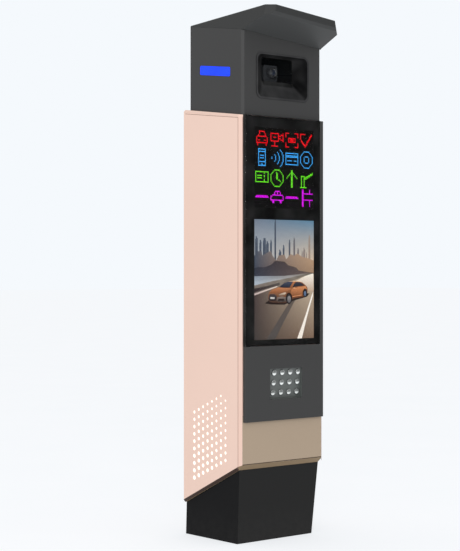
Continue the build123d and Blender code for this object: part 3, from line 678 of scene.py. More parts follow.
@dataclass(frozen=True)
class Lit(Finish):
    """A surface that gives light: an opal diffuser or a light dot."""

    colour: Colour
    strength: float
    ripple: float = 0.15
    scale: float = 60.0
    dark_within: float = 0.0
    unlit: Colour = (0.002, 0.002, 0.004)

    def fill(self, shader: Shader) -> None:
        """Fill in the light, and its unlit middle where it has one.

        Args:
            shader: The new material.
        """
        graph = shader.graph
        cloud = graph.noise(graph.place(), self.scale, 1.0)
        dim = tuple(level * (1 - self.ripple) for level in self.colour)
        glow = graph.blend(graph.spread(cloud, 0.35, 0.65), dim, self.colour)
        if self.dark_within:
            aside = graph.maths("ABSOLUTE", graph.split(graph.place())["X"])
            glow = graph.blend(graph.spread(aside, self.dark_within - MM, self.dark_within), self.unlit, glow)
        shader.set(Base_Color=glow, Emission_Color=glow, Emission_Strength=self.strength, Roughness=0.35,
                   Specular_IOR_Level=0.2)


@dataclass(frozen=True)
class PictureTone(Finish):
    """A tone of the lit picture, blended between the corners of its rectangle."""

    low_left: Colour
    low_right: Colour
    high_left: Colour
    high_right: Colour
    span: tuple[float, float, float, float]
    grain: float = 0.1
    streak: float = 1.0

    def fill(self, shader: Shader) -> None:
        """Fill in the tone.

        Args:
            shader: The new material.
        """
        left, right, low, high = self.span
        tone = shader.group(GroupKind.CORNERS, Low_Left=self.low_left, Low_Right=self.low_right,
                            High_Left=self.high_left, High_Right=self.high_right, Left=left, Right=right,
                            Low=low, High=high, Grain=self.grain, Streak=self.streak)
        shader.set(Base_Color=(0.01, 0.01, 0.01), Emission_Color=tone["Colour"], Emission_Strength=1.0,
                   Roughness=0.4, Specular_IOR_Level=0.1)


@dataclass(frozen=True)
class DotFace(Finish):
    """The black face of a light matrix with its unlit dots."""

    pitch: float
    offset_x: float
    offset_z: float
    face: Colour = (0.003, 0.003, 0.003)
    dot: Colour = (0.010, 0.010, 0.009)

    def fill(self, shader: Shader) -> None:
        """Fill in the face and its grid of dots.

        Args:
            shader: The new material.
        """
        grid = shader.group(GroupKind.DOTS, Pitch=self.pitch, Offset_X=self.offset_x, Offset_Z=self.offset_z)
        shader.set(Base_Color=shader.graph.blend(grid["Mask"], self.face, self.dot), Specular_IOR_Level=0.2,
                   Roughness=shader.graph.spread(grid["Mask"], 0.0, 1.0, 0.8, 0.35))


@dataclass(frozen=True)
class BoardGreen(Finish):
    """Solder mask over copper tracks."""

    mask: Colour = (0.012, 0.11, 0.035)
    track: Colour = (0.05, 0.24, 0.08)
    track_scale: float = 70.0
    track_width: float = 0.03
    film_scale: float = 40.0

    def fill(self, shader: Shader) -> None:
        """Fill in the circuit board's surface.

        Args:
            shader: The new material.
        """
        graph = shader.graph
        upright = graph.add("Mapping")
        graph.fill(upright, Vector=graph.place(), Rotation=(math.radians(90), 0.0, 0.0))
        bricks = graph.add("TexBrick")
        graph.fill(bricks, Vector=upright.outputs[0], Scale=self.track_scale, Mortar_Size=self.track_width)
        film = graph.noise(graph.place(), self.film_scale)
        shader.set(Base_Color=graph.blend(bricks.outputs["Fac"], self.mask, self.track),
                   Roughness=graph.spread(film, 0.3, 0.7, 0.25, 0.4))
        shader.relief(bricks.outputs["Fac"], 0.05)


ROSE = PowderCoat("rose_powder_coat", paint(231, 200, 185), roughness=0.5, relief_mm=0.02, specular=0.25,
                  dust=0.05)
# Painted shade: a darker copy of the rose coat for the corner posts.
ROSE_SHADED_POSTS = PowderCoat("rose_powder_coat_painted_post_shade", paint(224, 191, 176), roughness=0.42, relief_mm=0.02,
                       specular=0.3, dust=0.05)
# Painted shade: the rose coat darkened to tan on the lower front panel.
ROSE_FRONT_SHADED = PowderCoat("rose_powder_coat_painted_front_shade", paint(166, 148, 128), roughness=0.5, relief_mm=0.02, specular=0.2,
                    dust=0.06)
# Painted shade: the rose coat darkened on the skirt, and darker still on its sides.
ROSE_SKIRT_SHADED = PowderCoat("rose_powder_coat_painted_skirt_shade", paint(134, 114, 88), roughness=0.45, relief_mm=0.02,
                        specular=0.2, dust=0.06, painted_side_shade=paint(58, 40, 32))
GREY = PowderCoat("dark_grey_powder_coat", paint(58, 58, 58), roughness=0.5, grain_scale=900.0,
                  specular=0.25, dust=0.03)
# Painted shade and light: a darker copy of the grey coat for the hood, paler on faces that look down as
# painted light from below.
GREY_HOOD_SHADED_AND_LIT = PowderCoat("grey_hood_coat_painted_shade_and_light", paint(49, 50, 50), roughness=0.5, grain_scale=900.0,
                       specular=0.25, dust=0.02, painted_under_light=paint(66, 67, 67))
# Black coat with painted shade: darker on faces that look sideways.
BLACK = PowderCoat("black_powder_coat_painted_side_shade", paint(39, 39, 39), roughness=0.6, grain_scale=800.0, specular=0.04,
                   dust=0.02, splash_height=0.12, painted_side_shade=paint(25, 25, 26))
TRAY = PowderCoat("tray_grey_coat", paint(88, 92, 90), roughness=0.35, specular=0.4, dust=0.0)
ZINC = BareMetal("zinc_plate", (0.55, 0.56, 0.57), 0.38)
STAINLESS = BareMetal("brushed_stainless", (0.58, 0.58, 0.59), 0.26)
BRIGHT = BareMetal("bright_reflector", (0.42, 0.43, 0.43), 0.2)
BRASS = BareMetal("turned_brass", (0.66, 0.46, 0.18), 0.28)
ALUMINIUM = BareMetal("mill_aluminium", (0.72, 0.73, 0.74), 0.34)
SOOT = Moulded("black_moulding", paint(34, 34, 35), 0.5)
# Painted shade: black moulding darkened for the shade in the niche.
NICHE_SHADED_BLACK = Moulded("niche_moulding", paint(13, 14, 14), 0.55, specular=0.12)
# Painted shade on the niche's walls, and painted light on its floor and proud lip.
NICHE_SHADE_AND_LIGHT = NicheShadeAndLight("niche_moulding_painted_shade_and_light", paint(5, 5, 6), 0.55, specular=0.03,
                           painted_light_colour=paint(50, 50, 51))
SEAM = Moulded("seam_shadow", paint(150, 118, 104), 0.7, 600.0, 0.1)
SEAM_DARK = Moulded("skirt_seam_shadow", paint(70, 56, 42), 0.7, 600.0, 0.1)
IVORY = Moulded("pale_moulding", paint(205, 204, 198), 0.45)
RUBBER = Moulded("gasket_rubber", paint(24, 24, 24), 0.8, 500.0, 0.2)
CASE_GREY = PowderCoat("camera_case_coat", paint(74, 76, 80), roughness=0.45, dust=0.0)
LENS_BLACK = Moulded("lens_barrel_black", paint(96, 98, 102), 0.3, 1500.0, 0.5, 0.4)
CLEAR = Glazing("display_cover_glass", (1.0, 1.0, 1.0))
SMOKED = Glazing("smoked_window_glass", (0.006, 0.007, 0.008), transmission=0.0, alpha=0.22, specular=0.15)
LENS_GLASS = Glazing("lens_glass", (0.02, 0.03, 0.06), transmission=0.0, specular=1.0)
# Painted reflection and light: the clear lens domes are painted grey above and near white on their lower
# halves.
DOME_PAINTED_REFLECTION_AND_LIGHT = PowderCoat("lens_dome_painted_reflection_and_light", paint(112, 116, 114), roughness=0.12, variation=0.02, relief_mm=0.0,
                  specular=0.6, dust=0.0, painted_under_light=paint(244, 248, 246), under_light_from=-0.02, under_light_to=-0.3)
# Black print on the glass's back; the same finish is painted shade on the glass's left edge.
BLACK_PRINT_AND_SHADE = Moulded("glass_back_print", paint(17, 17, 17), 0.7, 1200.0, 0.1)
BLUE = Lit("blue_side_light", paint(16, 58, 240), 0.68, 0.2, 14.0, dark_within=168.5 * MM)
WARM = Lit("warm_opal_light", paint(252, 245, 236), 0.62, 0.05, 20.0)
CHIP = Lit("light_chip", paint(255, 252, 240), 0.6, 0.05)
BOARD = BoardGreen("circuit_board_green")
CARD_BLACK = Moulded("card_black", (0.002, 0.002, 0.002), 1.0, 100.0, 0.0)


# ---- Mesh making ----
def round_edges(mesh: bmesh.types.BMesh, edges: Iterable[bmesh.types.BMEdge], width_mm: float,
                segments: int = 2,
                clamp: bool = True) -> None:
    """Round some of a mesh's edges.

    Args:
        mesh: The mesh, which is changed.
        edges: The edges to round.
        width_mm: How far each rounding reaches from its edge.
        segments: Steps in a rounding.
        clamp: Whether roundings stop where they would meet.
    """
    bmesh.ops.bevel(mesh, geom=list(edges), offset=width_mm * MM, offset_type="OFFSET", segments=segments,
                    profile=0.5, affect="EDGES", material=-1, clamp_overlap=clamp)


def softened(node: str, width_mm: float, segments: int = 2, sharp_deg: float = 33.0) -> bmesh.types.BMesh:
    """Copy a CAD part's mesh, weld it, merge its flat faces and round its edges.

    Args:
        node: The CAD part's name.
        width_mm: How far each rounding reaches from its edge.
        segments: Steps in a rounding.
        sharp_deg: Edges that turn more than this are rounded.

    Returns:
        The new mesh.
    """
    mesh = bmesh.new()
    mesh.from_mesh(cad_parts[node].data)
    bmesh.ops.remove_doubles(mesh, verts=mesh.verts, dist=WELD)
    bmesh.ops.dissolve_limit(mesh, angle_limit=FLAT, verts=mesh.verts, edges=mesh.edges)
    sharp = math.radians(sharp_deg)
    edges = [edge for edge in mesh.edges if len(edge.link_faces) == 2 and edge.calc_face_angle(0.0) > sharp]
    round_edges(mesh, edges, width_mm, segments, clamp=False)
    return mesh


def block(low: Vector, high: Vector, bevel_mm: float = 0.0) -> bmesh.types.BMesh:
    """A box between two corners.

    Args:
        low: Its lowest corner.
        high: Its highest corner.
        bevel_mm: How far its edges are rounded.

    Returns:
        The box's mesh.
    """
    mesh = bmesh.new()
    place = Matrix.Translation((low + high) / 2) @ Matrix.Diagonal((*(high - low), 1.0))
    bmesh.ops.create_cube(mesh, size=1.0, matrix=place)
    if bevel_mm > 0:
        round_edges(mesh, mesh.edges, bevel_mm)
    return mesh


def turned(profile: Sequence[Point], centre: Vector, axis: Vector, steps: int = 32) -> bmesh.types.BMesh:
    """Spin an outline round an axis.

    Args:
        profile: Points as (distance along the axis, radius) in metres; ends at radius 0 close the shape.
        centre: A point on the axis, where distance is 0.
        axis: The way along the axis.
        steps: Segments round the turn.

    Returns:
        The turned mesh with its seam closed.
    """
    mesh = bmesh.new()
    along = axis.normalized()
    side = along.orthogonal().normalized()
    verts = [mesh.verts.new(centre + along * distance + side * radius) for distance, radius in profile]
    edges = [mesh.edges.new(pair) for pair in zip(verts, verts[1:])]
    bmesh.ops.spin(mesh, geom=verts + edges, cent=centre, axis=along, angle=math.tau, steps=steps,
                   use_merge=True)
    bmesh.ops.remove_doubles(mesh, verts=mesh.verts, dist=WELD)
    bmesh.ops.recalc_face_normals(mesh, faces=mesh.faces)
    return mesh


def dome(foot: float, rise: float, radius: float, step_deg: int) -> list[Point]:
    """The outline of half an egg, for turning.

    Args:
        foot: Where its widest round is along the axis.
        rise: How far it stands out from there.
        radius: Its widest radius.
        step_deg: Angle from one point to the next.

    Returns:
        Points as (distance along the axis, radius), from the tip to the foot.
    """
    turns = [math.radians(angle) for angle in range(0, 91, step_deg)]
    return [(foot + rise * math.cos(turn), radius * math.sin(turn)) for turn in turns]


def merged(meshes: Iterable[bmesh.types.BMesh]) -> bmesh.types.BMesh:
    """Put several meshes in one.

    Args:
        meshes: The meshes, which are used up.

    Returns:
        The one mesh.
    """
    whole = bmesh.new()
    for mesh in meshes:
        loose = bpy.data.meshes.new("part")
        mesh.to_mesh(loose)
        mesh.free()
        whole.from_mesh(loose)
        bpy.data.meshes.remove(loose)
    return whole


def flat_shape(outline: Sequence[Point], y: float, thick: float) -> bmesh.types.BMesh:
    """A thin upright plate from an (x, z) outline, its front at y and its back behind it.

    Args:
        outline: Points round the edge, in metres.
        y: Where the front face is.
        thick: How thick the plate is.

    Returns:
        The plate's mesh.
    """
    mesh = bmesh.new()
    face = mesh.faces.new([mesh.verts.new((x, y, z)) for x, z in outline])
    made = bmesh.ops.extrude_face_region(mesh, geom=[face])
    moved = [item for item in made["geom"] if isinstance(item, bmesh.types.BMVert)]
    bmesh.ops.translate(mesh, verts=moved, vec=(0.0, thick, 0.0))
    bmesh.ops.recalc_face_normals(mesh, faces=mesh.faces)
    return mesh


def framed_plate(outer: Rectangle, holes: Sequence[Rectangle], y: float, thick: float) -> bmesh.types.BMesh:
    """An upright plate with rectangular openings, one above the other.

    Args:
        outer: Left, right, low and high of the plate.
        holes: The same of each opening, from the lowest up.
        y: Where the front face is.
        thick: How thick the plate is.

    Returns:
        The plate's mesh, made of bars round the openings.
    """
    left, right, low, high = outer
    bars = []
    floor = low
    for hole_left, hole_right, hole_low, hole_high in holes:
        bars.append((left, right, floor, hole_low))
        bars.append((left, hole_left, hole_low, hole_high))
        bars.append((hole_right, right, hole_low, hole_high))
        floor = hole_high
    bars.append((left, right, floor, high))
    return merged(block(Vector((a, y, c)), Vector((b, y + thick, d))) for a, b, c, d in bars)


def linked(name: str, data: object) -> bpy.types.Object:
    """Put a new object in the scene.

    Args:
        name: The object's name.
        data: Its mesh, light or camera.

    Returns:
        The object.
    """
    made = bpy.data.objects.new(name, data)
    bpy.context.scene.collection.objects.link(made)
    return made


def as_mesh(name: str, mesh: bmesh.types.BMesh) -> bpy.types.Mesh:
    """Turn a mesh that is being edited into one for an object.

    Args:
        name: The mesh's name.
        mesh: The edited mesh, which is used up.

    Returns:
        The object's mesh.
    """
    data = bpy.data.meshes.new(name)
    mesh.to_mesh(data)
    mesh.free()
    return data


# ---- Sub-assemblies ----
@dataclass
class SubAssembly:
    """A group of pieces that ride on one body."""

    title: str = "sub-assembly"
    body: str = "cabinet"
    pieces: list[str] = field(default_factory=list)

    def add(self, name: str, mesh: bmesh.types.BMesh, finish: Finish, slot: str, replaces: Sequence[str] = (),
            body: str | None = None, smooth: bool = True) -> None:
        """Turn a mesh into a finished piece.

        Args:
            name: The piece's name.
            mesh: Its mesh, which is used up.
            finish: What its surface is.
            slot: The record's material slot it goes with; not used.
            replaces: CAD parts that it stands for.
            body: The body it rides on, if not the group's own.
            smooth: Whether faces are shaded as one surface.
        """
        data = as_mesh(name, mesh)
        data.polygons.foreach_set("use_smooth", [smooth] * len(data.polygons))
        data.materials.append(finish.material())
        piece = linked(name, data)
        if smooth:
            piece.modifiers.new("Weighted Normal", "WEIGHTED_NORMAL").keep_sharp = True
        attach(piece, body or self.body)
        if replaces:
            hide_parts(*replaces)
        self.pieces.append(name)

    def soften(self, node: str, finish: Finish, slot: str, width_mm: float = 0.7, segments: int = 2,
               sharp_deg: float = 33.0, body: str | None = None) -> None:
        """Stand a round-edged copy in for a CAD part.

        Args:
            node: The CAD part's name.
            finish: What the copy's surface is.
            slot: The record's material slot it goes with.
            width_mm: How far each rounding reaches from its edge.
            segments: Steps in a rounding.
            sharp_deg: Edges that turn more than this are rounded.
            body: The body it rides on, if not the group's own.
        """
        self.add(node + "_finished", softened(node, width_mm, segments, sharp_deg), finish, slot, [node],
                 body)

    def dress(self, nodes: Iterable[str], finish: Finish) -> None:
        """Give CAD parts that stay as they are their finish.

        Args:
            nodes: The parts' names.
            finish: What their surface is.
        """
        for node in nodes:
            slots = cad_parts[node].data.materials
            slots.clear()
            slots.append(finish.material())
            self.pieces.append(node)

    def build(self) -> None:
        """Make every piece."""
        raise NotImplementedError

    def report(self) -> None:
        """Say which pieces were made."""
        for name in self.pieces:
            LOG.info("%s: %s", self.title, name)


@dataclass
class Foot(SubAssembly):
    """The plinth, its anchor plate, the skirt and the deck over them."""

    title: str = "foot"

    def build(self) -> None:
        """Make every piece."""
        # The plinth's sides are darker as painted shade.
        self.soften("plinth", BLACK, "plinth_black", 1.0)
        # The skirt takes the rose coat darkened as painted shade, darker still on its sides.
        self.soften("skirt_trim", ROSE_SKIRT_SHADED, "rose_paint", 0.5, sharp_deg=12.0)
        self.soften("anchor_plate", ZINC, "zinc_steel", 0.8)
        self.dress(["base_deck"], ZINC)
        self.dress(["cable_glands"], SOOT)
        self.dress(["earth_stud"], BRASS)


@dataclass
class BodyShell(SubAssembly):
    """The sheet steel body: sides, corners, rear frame, lower front and cap."""

    title: str = "body shell"
    fold_mm: float = 0.35
    edge_mm: float = 0.6
    seam_wide: float = 1.6 * MM
    seam_proud: float = 0.08 * MM
    seam_foot: float = 2 * MM
    seam_top: float = 38 * MM
    seam_drop: float = 5 * MM
    seam_back: float = 8 * MM
    skirt_gap: float = 2.2 * MM

    def build(self) -> None:
        """Make every piece."""
        for side in ("left", "right"):
            self.soften(f"side_panel_{side}", ROSE, "rose_paint", self.fold_mm, sharp_deg=45.0)
        # The corner posts take the darker copy of the rose coat as painted shade.
        self.soften("corner_posts", ROSE_SHADED_POSTS, "rose_paint", self.fold_mm)
        self.soften("rear_posts", ROSE, "rose_paint", self.fold_mm)
        # The lower front takes the rose coat darkened to tan as painted shade.
        self.soften("lower_front_panel", ROSE_FRONT_SHADED, "rose_paint", self.edge_mm)
        self.soften("rear_lintel", ROSE, "rose_paint", self.edge_mm)
        self.soften("rear_sill", ROSE, "rose_paint", self.edge_mm)
        self.soften("top_cap", ROSE, "rose_paint", 0.8, 3, 20.0)
        self.dress(["vent_diffusers"], WARM)
        self.side_seams()
        self.skirt_seam()

    def side_seams(self) -> None:
        """Lay dark joint lines on both sides: an upright one in front of the panel, a sloping one over it."""
        low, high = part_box("side_panel_left")
        post_low, post_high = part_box("corner_posts")
        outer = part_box("side_panel_right")[1].x
        half = self.seam_wide / 2
        spans = [(side * outer - self.seam_proud, side * outer + self.seam_proud) for side in (-1, 1)]
        uprights = [block(Vector((inner, low.y - half, post_low.z + self.seam_foot)),
                          Vector((proud, low.y + half, high.z - self.seam_top)), 0.05) for inner,
                          proud in spans]
        slopes = [block(Vector((inner, low.y, -half)), Vector((proud, high.y - self.seam_back, half)), 0.05)
                  for inner, proud in spans]
        rise = (high.z - post_high.z) / (high.y - low.y)
        lean = Matrix.Identity(4)
        lean[2][1] = rise
        lean[2][3] = post_high.z - self.seam_drop - rise * low.y
        for slope in slopes:
            bmesh.ops.transform(slope, matrix=lean, verts=slope.verts)
        self.add("side_seams", merged(uprights + slopes), SEAM, "rose_paint", smooth=False)

    def skirt_seam(self) -> None:
        """Lay the dark joint line between the lower front and the skirt."""
        low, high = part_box("lower_front_panel")
        line = block(Vector((low.x, low.y - 0.3 * MM, low.z)),
                     Vector((high.x, low.y + 0.2 * MM, low.z + self.skirt_gap)), 0.1)
        self.add("skirt_seam", line, SEAM_DARK, "rose_paint", smooth=False)


@dataclass
class FrontCovers(SubAssembly):
    """The grey lower cover and the rails beside the glass."""

    title: str = "front covers"

    def build(self) -> None:
        """Make every piece."""
        self.soften("front_cover", GREY, "grey_paint", 0.8, 3)
        self.soften("display_rails", GREY, "grey_paint", 0.8, 3)
        self.dress(["display_straps"], ZINC)
        self.dress(["speaker"], SOOT)


class Icon(Enum):
    """Generic signs for the light matrix, as strokes on a grid of 14 by 14 dots."""

    CAR_FRONT = (((1, 3), (1, 7), (3, 8), (4, 12), (9, 12), (10, 8), (12, 7), (12, 3), (1, 3)),
                 ((3, 8), (10, 8)), ((3, 5), (4, 5)), ((9, 5), (10, 5)), ((2, 3), (2, 1)),
                 ((11, 3), (11, 1)))
    CAMERA = (((0, 5), (0, 11), (8, 11), (8, 5), (0, 5)), ((8, 8), (13, 11), (13, 5), (8, 8)),
              ((3, 8), (5, 8)), ((4, 5), (4, 1)), ((1, 1), (7, 1)))
    FRAME = (((0, 9), (0, 12), (3, 12)), ((10, 12), (13, 12), (13, 9)), ((13, 4), (13, 1), (10, 1)), ((3, 1),
             (0, 1), (0, 4)), ((3, 5), (10, 5), (10, 8), (3, 8), (3, 5)), ((5, 6), (8, 6)), ((5, 7), (8, 7)))
    TICK = (((1, 6), (5, 2), (12, 11)), ((1, 7), (5, 3), (12, 12)), ((0, 12), (5, 12)), ((0, 12), (0, 8)))
    PHONE = (((3, 0), (3, 13), (10, 13), (10, 0), (3, 0)), ((3, 11), (10, 11)), ((3, 3), (10, 3)),
             ((6, 1), (7, 1)), ((5, 6), (8, 6)), ((5, 8), (8, 8)))
    WAVES = (((1, 6), (1, 7)), ((4, 4), (5, 6), (5, 7), (4, 9)), ((7, 2), (9, 5), (9, 8), (7, 11)), ((10, 0),
             (13, 4), (13, 9), (10, 13)))
    CARD = (((0, 2), (0, 11), (13, 11), (13, 2), (0, 2)), ((0, 8), (13, 8)), ((0, 9), (13, 9)),
            ((2, 5), (6, 5)), ((9, 5), (11, 5)))
    COIN = (((4, 0), (9, 0), (13, 4), (13, 9), (9, 13), (4, 13), (0, 9), (0, 4), (4, 0)), ((5, 4), (8, 4),
            (9, 5), (9, 8), (8, 9), (5, 9), (4, 8), (4, 5), (5, 4)))
    ARROW = (((6, 0), (6, 13)), ((7, 0), (7, 13)), ((1, 7), (6, 12)), ((12, 7), (7, 12)))
    CLOCK = (((4, 0), (9, 0), (13, 4), (13, 9), (9, 13), (4, 13), (0, 9), (0, 4), (4, 0)), ((6, 6), (6, 11)),
             ((6, 6), (10, 4)), ((7, 6), (7, 10)))
    TICKET = (((0, 3), (0, 11), (13, 11), (13, 3), (0, 3)), ((9, 4), (9, 5)), ((9, 7), (9, 8)),
              ((9, 10), (9, 10)), ((2, 8), (6, 8)), ((2, 6), (6, 6)))
    BARRIER = (((1, 0), (1, 9), (4, 9), (4, 0), (1, 0)), ((4, 7), (13, 12)), ((4, 6), (13, 11)),
               ((0, 0), (6, 0)))
    BAR = (((0, 6), (13, 6)), ((1, 7), (12, 7)))
    CAR_SIDE = (((0, 4), (0, 7), (3, 8), (5, 11), (9, 11), (11, 8), (13, 7), (13, 4), (0, 4)),
                ((7, 8), (7, 11)), ((4, 8), (10, 8)), ((2, 2), (3, 2)), ((2, 3), (3, 3)), ((10, 2), (11, 2)),
                ((10, 3), (11, 3)))
    GATE = (((2, 0), (2, 13)), ((3, 0), (3, 13)), ((3, 10), (13, 10)), ((3, 5), (13, 5)), ((10, 5), (10, 0)),
            ((10, 10), (10, 13)))

    def dots(self) -> set[tuple[int, int]]:
        """Every dot that the sign's strokes light.

        Returns:
            Columns and rows of the lit dots.
        """
        lit = set()
        for stroke in self.value:
            for (x0, z0), (x1, z1) in zip(stroke, stroke[1:]):
                steps = max(abs(x1 - x0), abs(z1 - z0), 1)
                for step in range(steps + 1):
                    share = step / steps
                    lit.add((math.floor(x0 + (x1 - x0) * share + 0.5),
                             math.floor(z0 + (z1 - z0) * share + 0.5)))
        return lit


@dataclass
class LightMatrix(SubAssembly):
    """The light matrix: two dotted modules and four lines of lit signs."""

    title: str = "light matrix"
    pitch: float = 4 * MM
    dot_radius: float = 1.75 * MM
    dot_tip: float = 0.8
    dot_rise: float = 0.2 * MM
    cell: int = 16
    icon_rows: int = 14
    line_pitch: float = 15.6
    bezel: float = 4 * MM
    bezel_thick: float = 3 * MM
    lines: tuple[tuple[str, Colour, float, tuple[Icon, ...]], ...] = (
        ("red", paint(235, 0, 20), 1.15, (Icon.CAR_FRONT, Icon.CAMERA, Icon.FRAME, Icon.TICK)),
        ("blue", paint(60, 165, 240), 1.1, (Icon.PHONE, Icon.WAVES, Icon.CARD, Icon.COIN)),
        ("green", paint(105, 230, 35), 1.1, (Icon.TICKET, Icon.CLOCK, Icon.ARROW, Icon.BARRIER)),
        ("magenta", paint(220, 10, 240), 1.1, (Icon.BAR, Icon.CAR_SIDE, Icon.BAR, Icon.GATE)),
    )

    def build(self) -> None:
        """Make every piece."""
        low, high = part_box("led_modules")
        self.dress(["led_modules"], DotFace("light_matrix_face", self.pitch, low.x, low.z))
        outer = (low.x - self.bezel, high.x + self.bezel, low.z - self.bezel, high.z + self.bezel)
        bezel = framed_plate(outer, [(low.x, high.x, low.z, high.z)], low.y, self.bezel_thick)
        self.add("light_matrix_bezel", bezel, SOOT, "led_face")
        middle = (low.z + high.z) / 2
        for number, (name, colour, strength, icons) in enumerate(self.lines):
            above = ((len(self.lines) - 1) / 2 - number) * self.line_pitch - self.icon_rows / 2
            base = low.z + round((middle + above * self.pitch - low.z) / self.pitch) * self.pitch
            light = Lit(f"{name}_light_dots", colour, strength, 0.1)
            self.add(f"lit_signs_{name}", self.sign_line(icons, low.x, base, low.y), light, "led_face",
                     smooth=False)

    def sign_line(self, icons: Sequence[Icon], left: float, base: float, front: float) -> bmesh.types.BMesh:
        """One line of four signs as small domed dots.

        Args:
            icons: The signs from left to right.
            left: Left edge of the matrix.
            base: Height of the signs' lowest dots.
            front: The face that the dots stand on.

        Returns:
            All the line's dots in one mesh.
        """
        mesh = bmesh.new()
        turn = Matrix.Rotation(math.radians(90), 4, "X")
        for index, icon in enumerate(icons):
            for column, row in sorted(icon.dots()):
                x = left + (index * self.cell + column + 1.5) * self.pitch
                z = base + (row + 0.5) * self.pitch
                place = Matrix.Translation((x, front - self.dot_rise / 2, z)) @ turn
                bmesh.ops.create_cone(mesh, cap_ends=True, cap_tris=False, segments=8,
                                      radius1=self.dot_radius,
                                      radius2=self.dot_radius * self.dot_tip, depth=self.dot_rise,
                                      matrix=place)
        return mesh


@dataclass(frozen=True)
class Layer:
    """One flat layer of the lit picture: outline in shares of the picture, and its corner tones."""

    name: str
    outline: tuple[Point, ...]
    low_left: Colour
    low_right: Colour
    high_left: Colour
    high_right: Colour
    grain: float = 0.1
    streak: float = 1.0


def plain(name: str, outline: tuple[Point, ...], tone: Colour, top: Colour | None = None,
          grain: float = 0.1) -> Layer:
    """A layer of one tone, or of two from its foot to its top."""
    return Layer(name, outline, tone, tone, top or tone, top or tone, grain)


def oval(u: float, v: float, wide: float, tall: float, steps: int = 24) -> tuple[Point, ...]:
    """Points round an ellipse.

    Args:
        u: Its middle across the picture.
        v: Its middle up the picture.
        wide: Half its width.
        tall: Half its height.
        steps: How many points it has.

    Returns:
        The points, in shares of the picture.
    """
    turns = [math.tau * step / steps for step in range(steps)]
    return tuple((u + wide * math.cos(turn), v + tall * math.sin(turn)) for turn in turns)


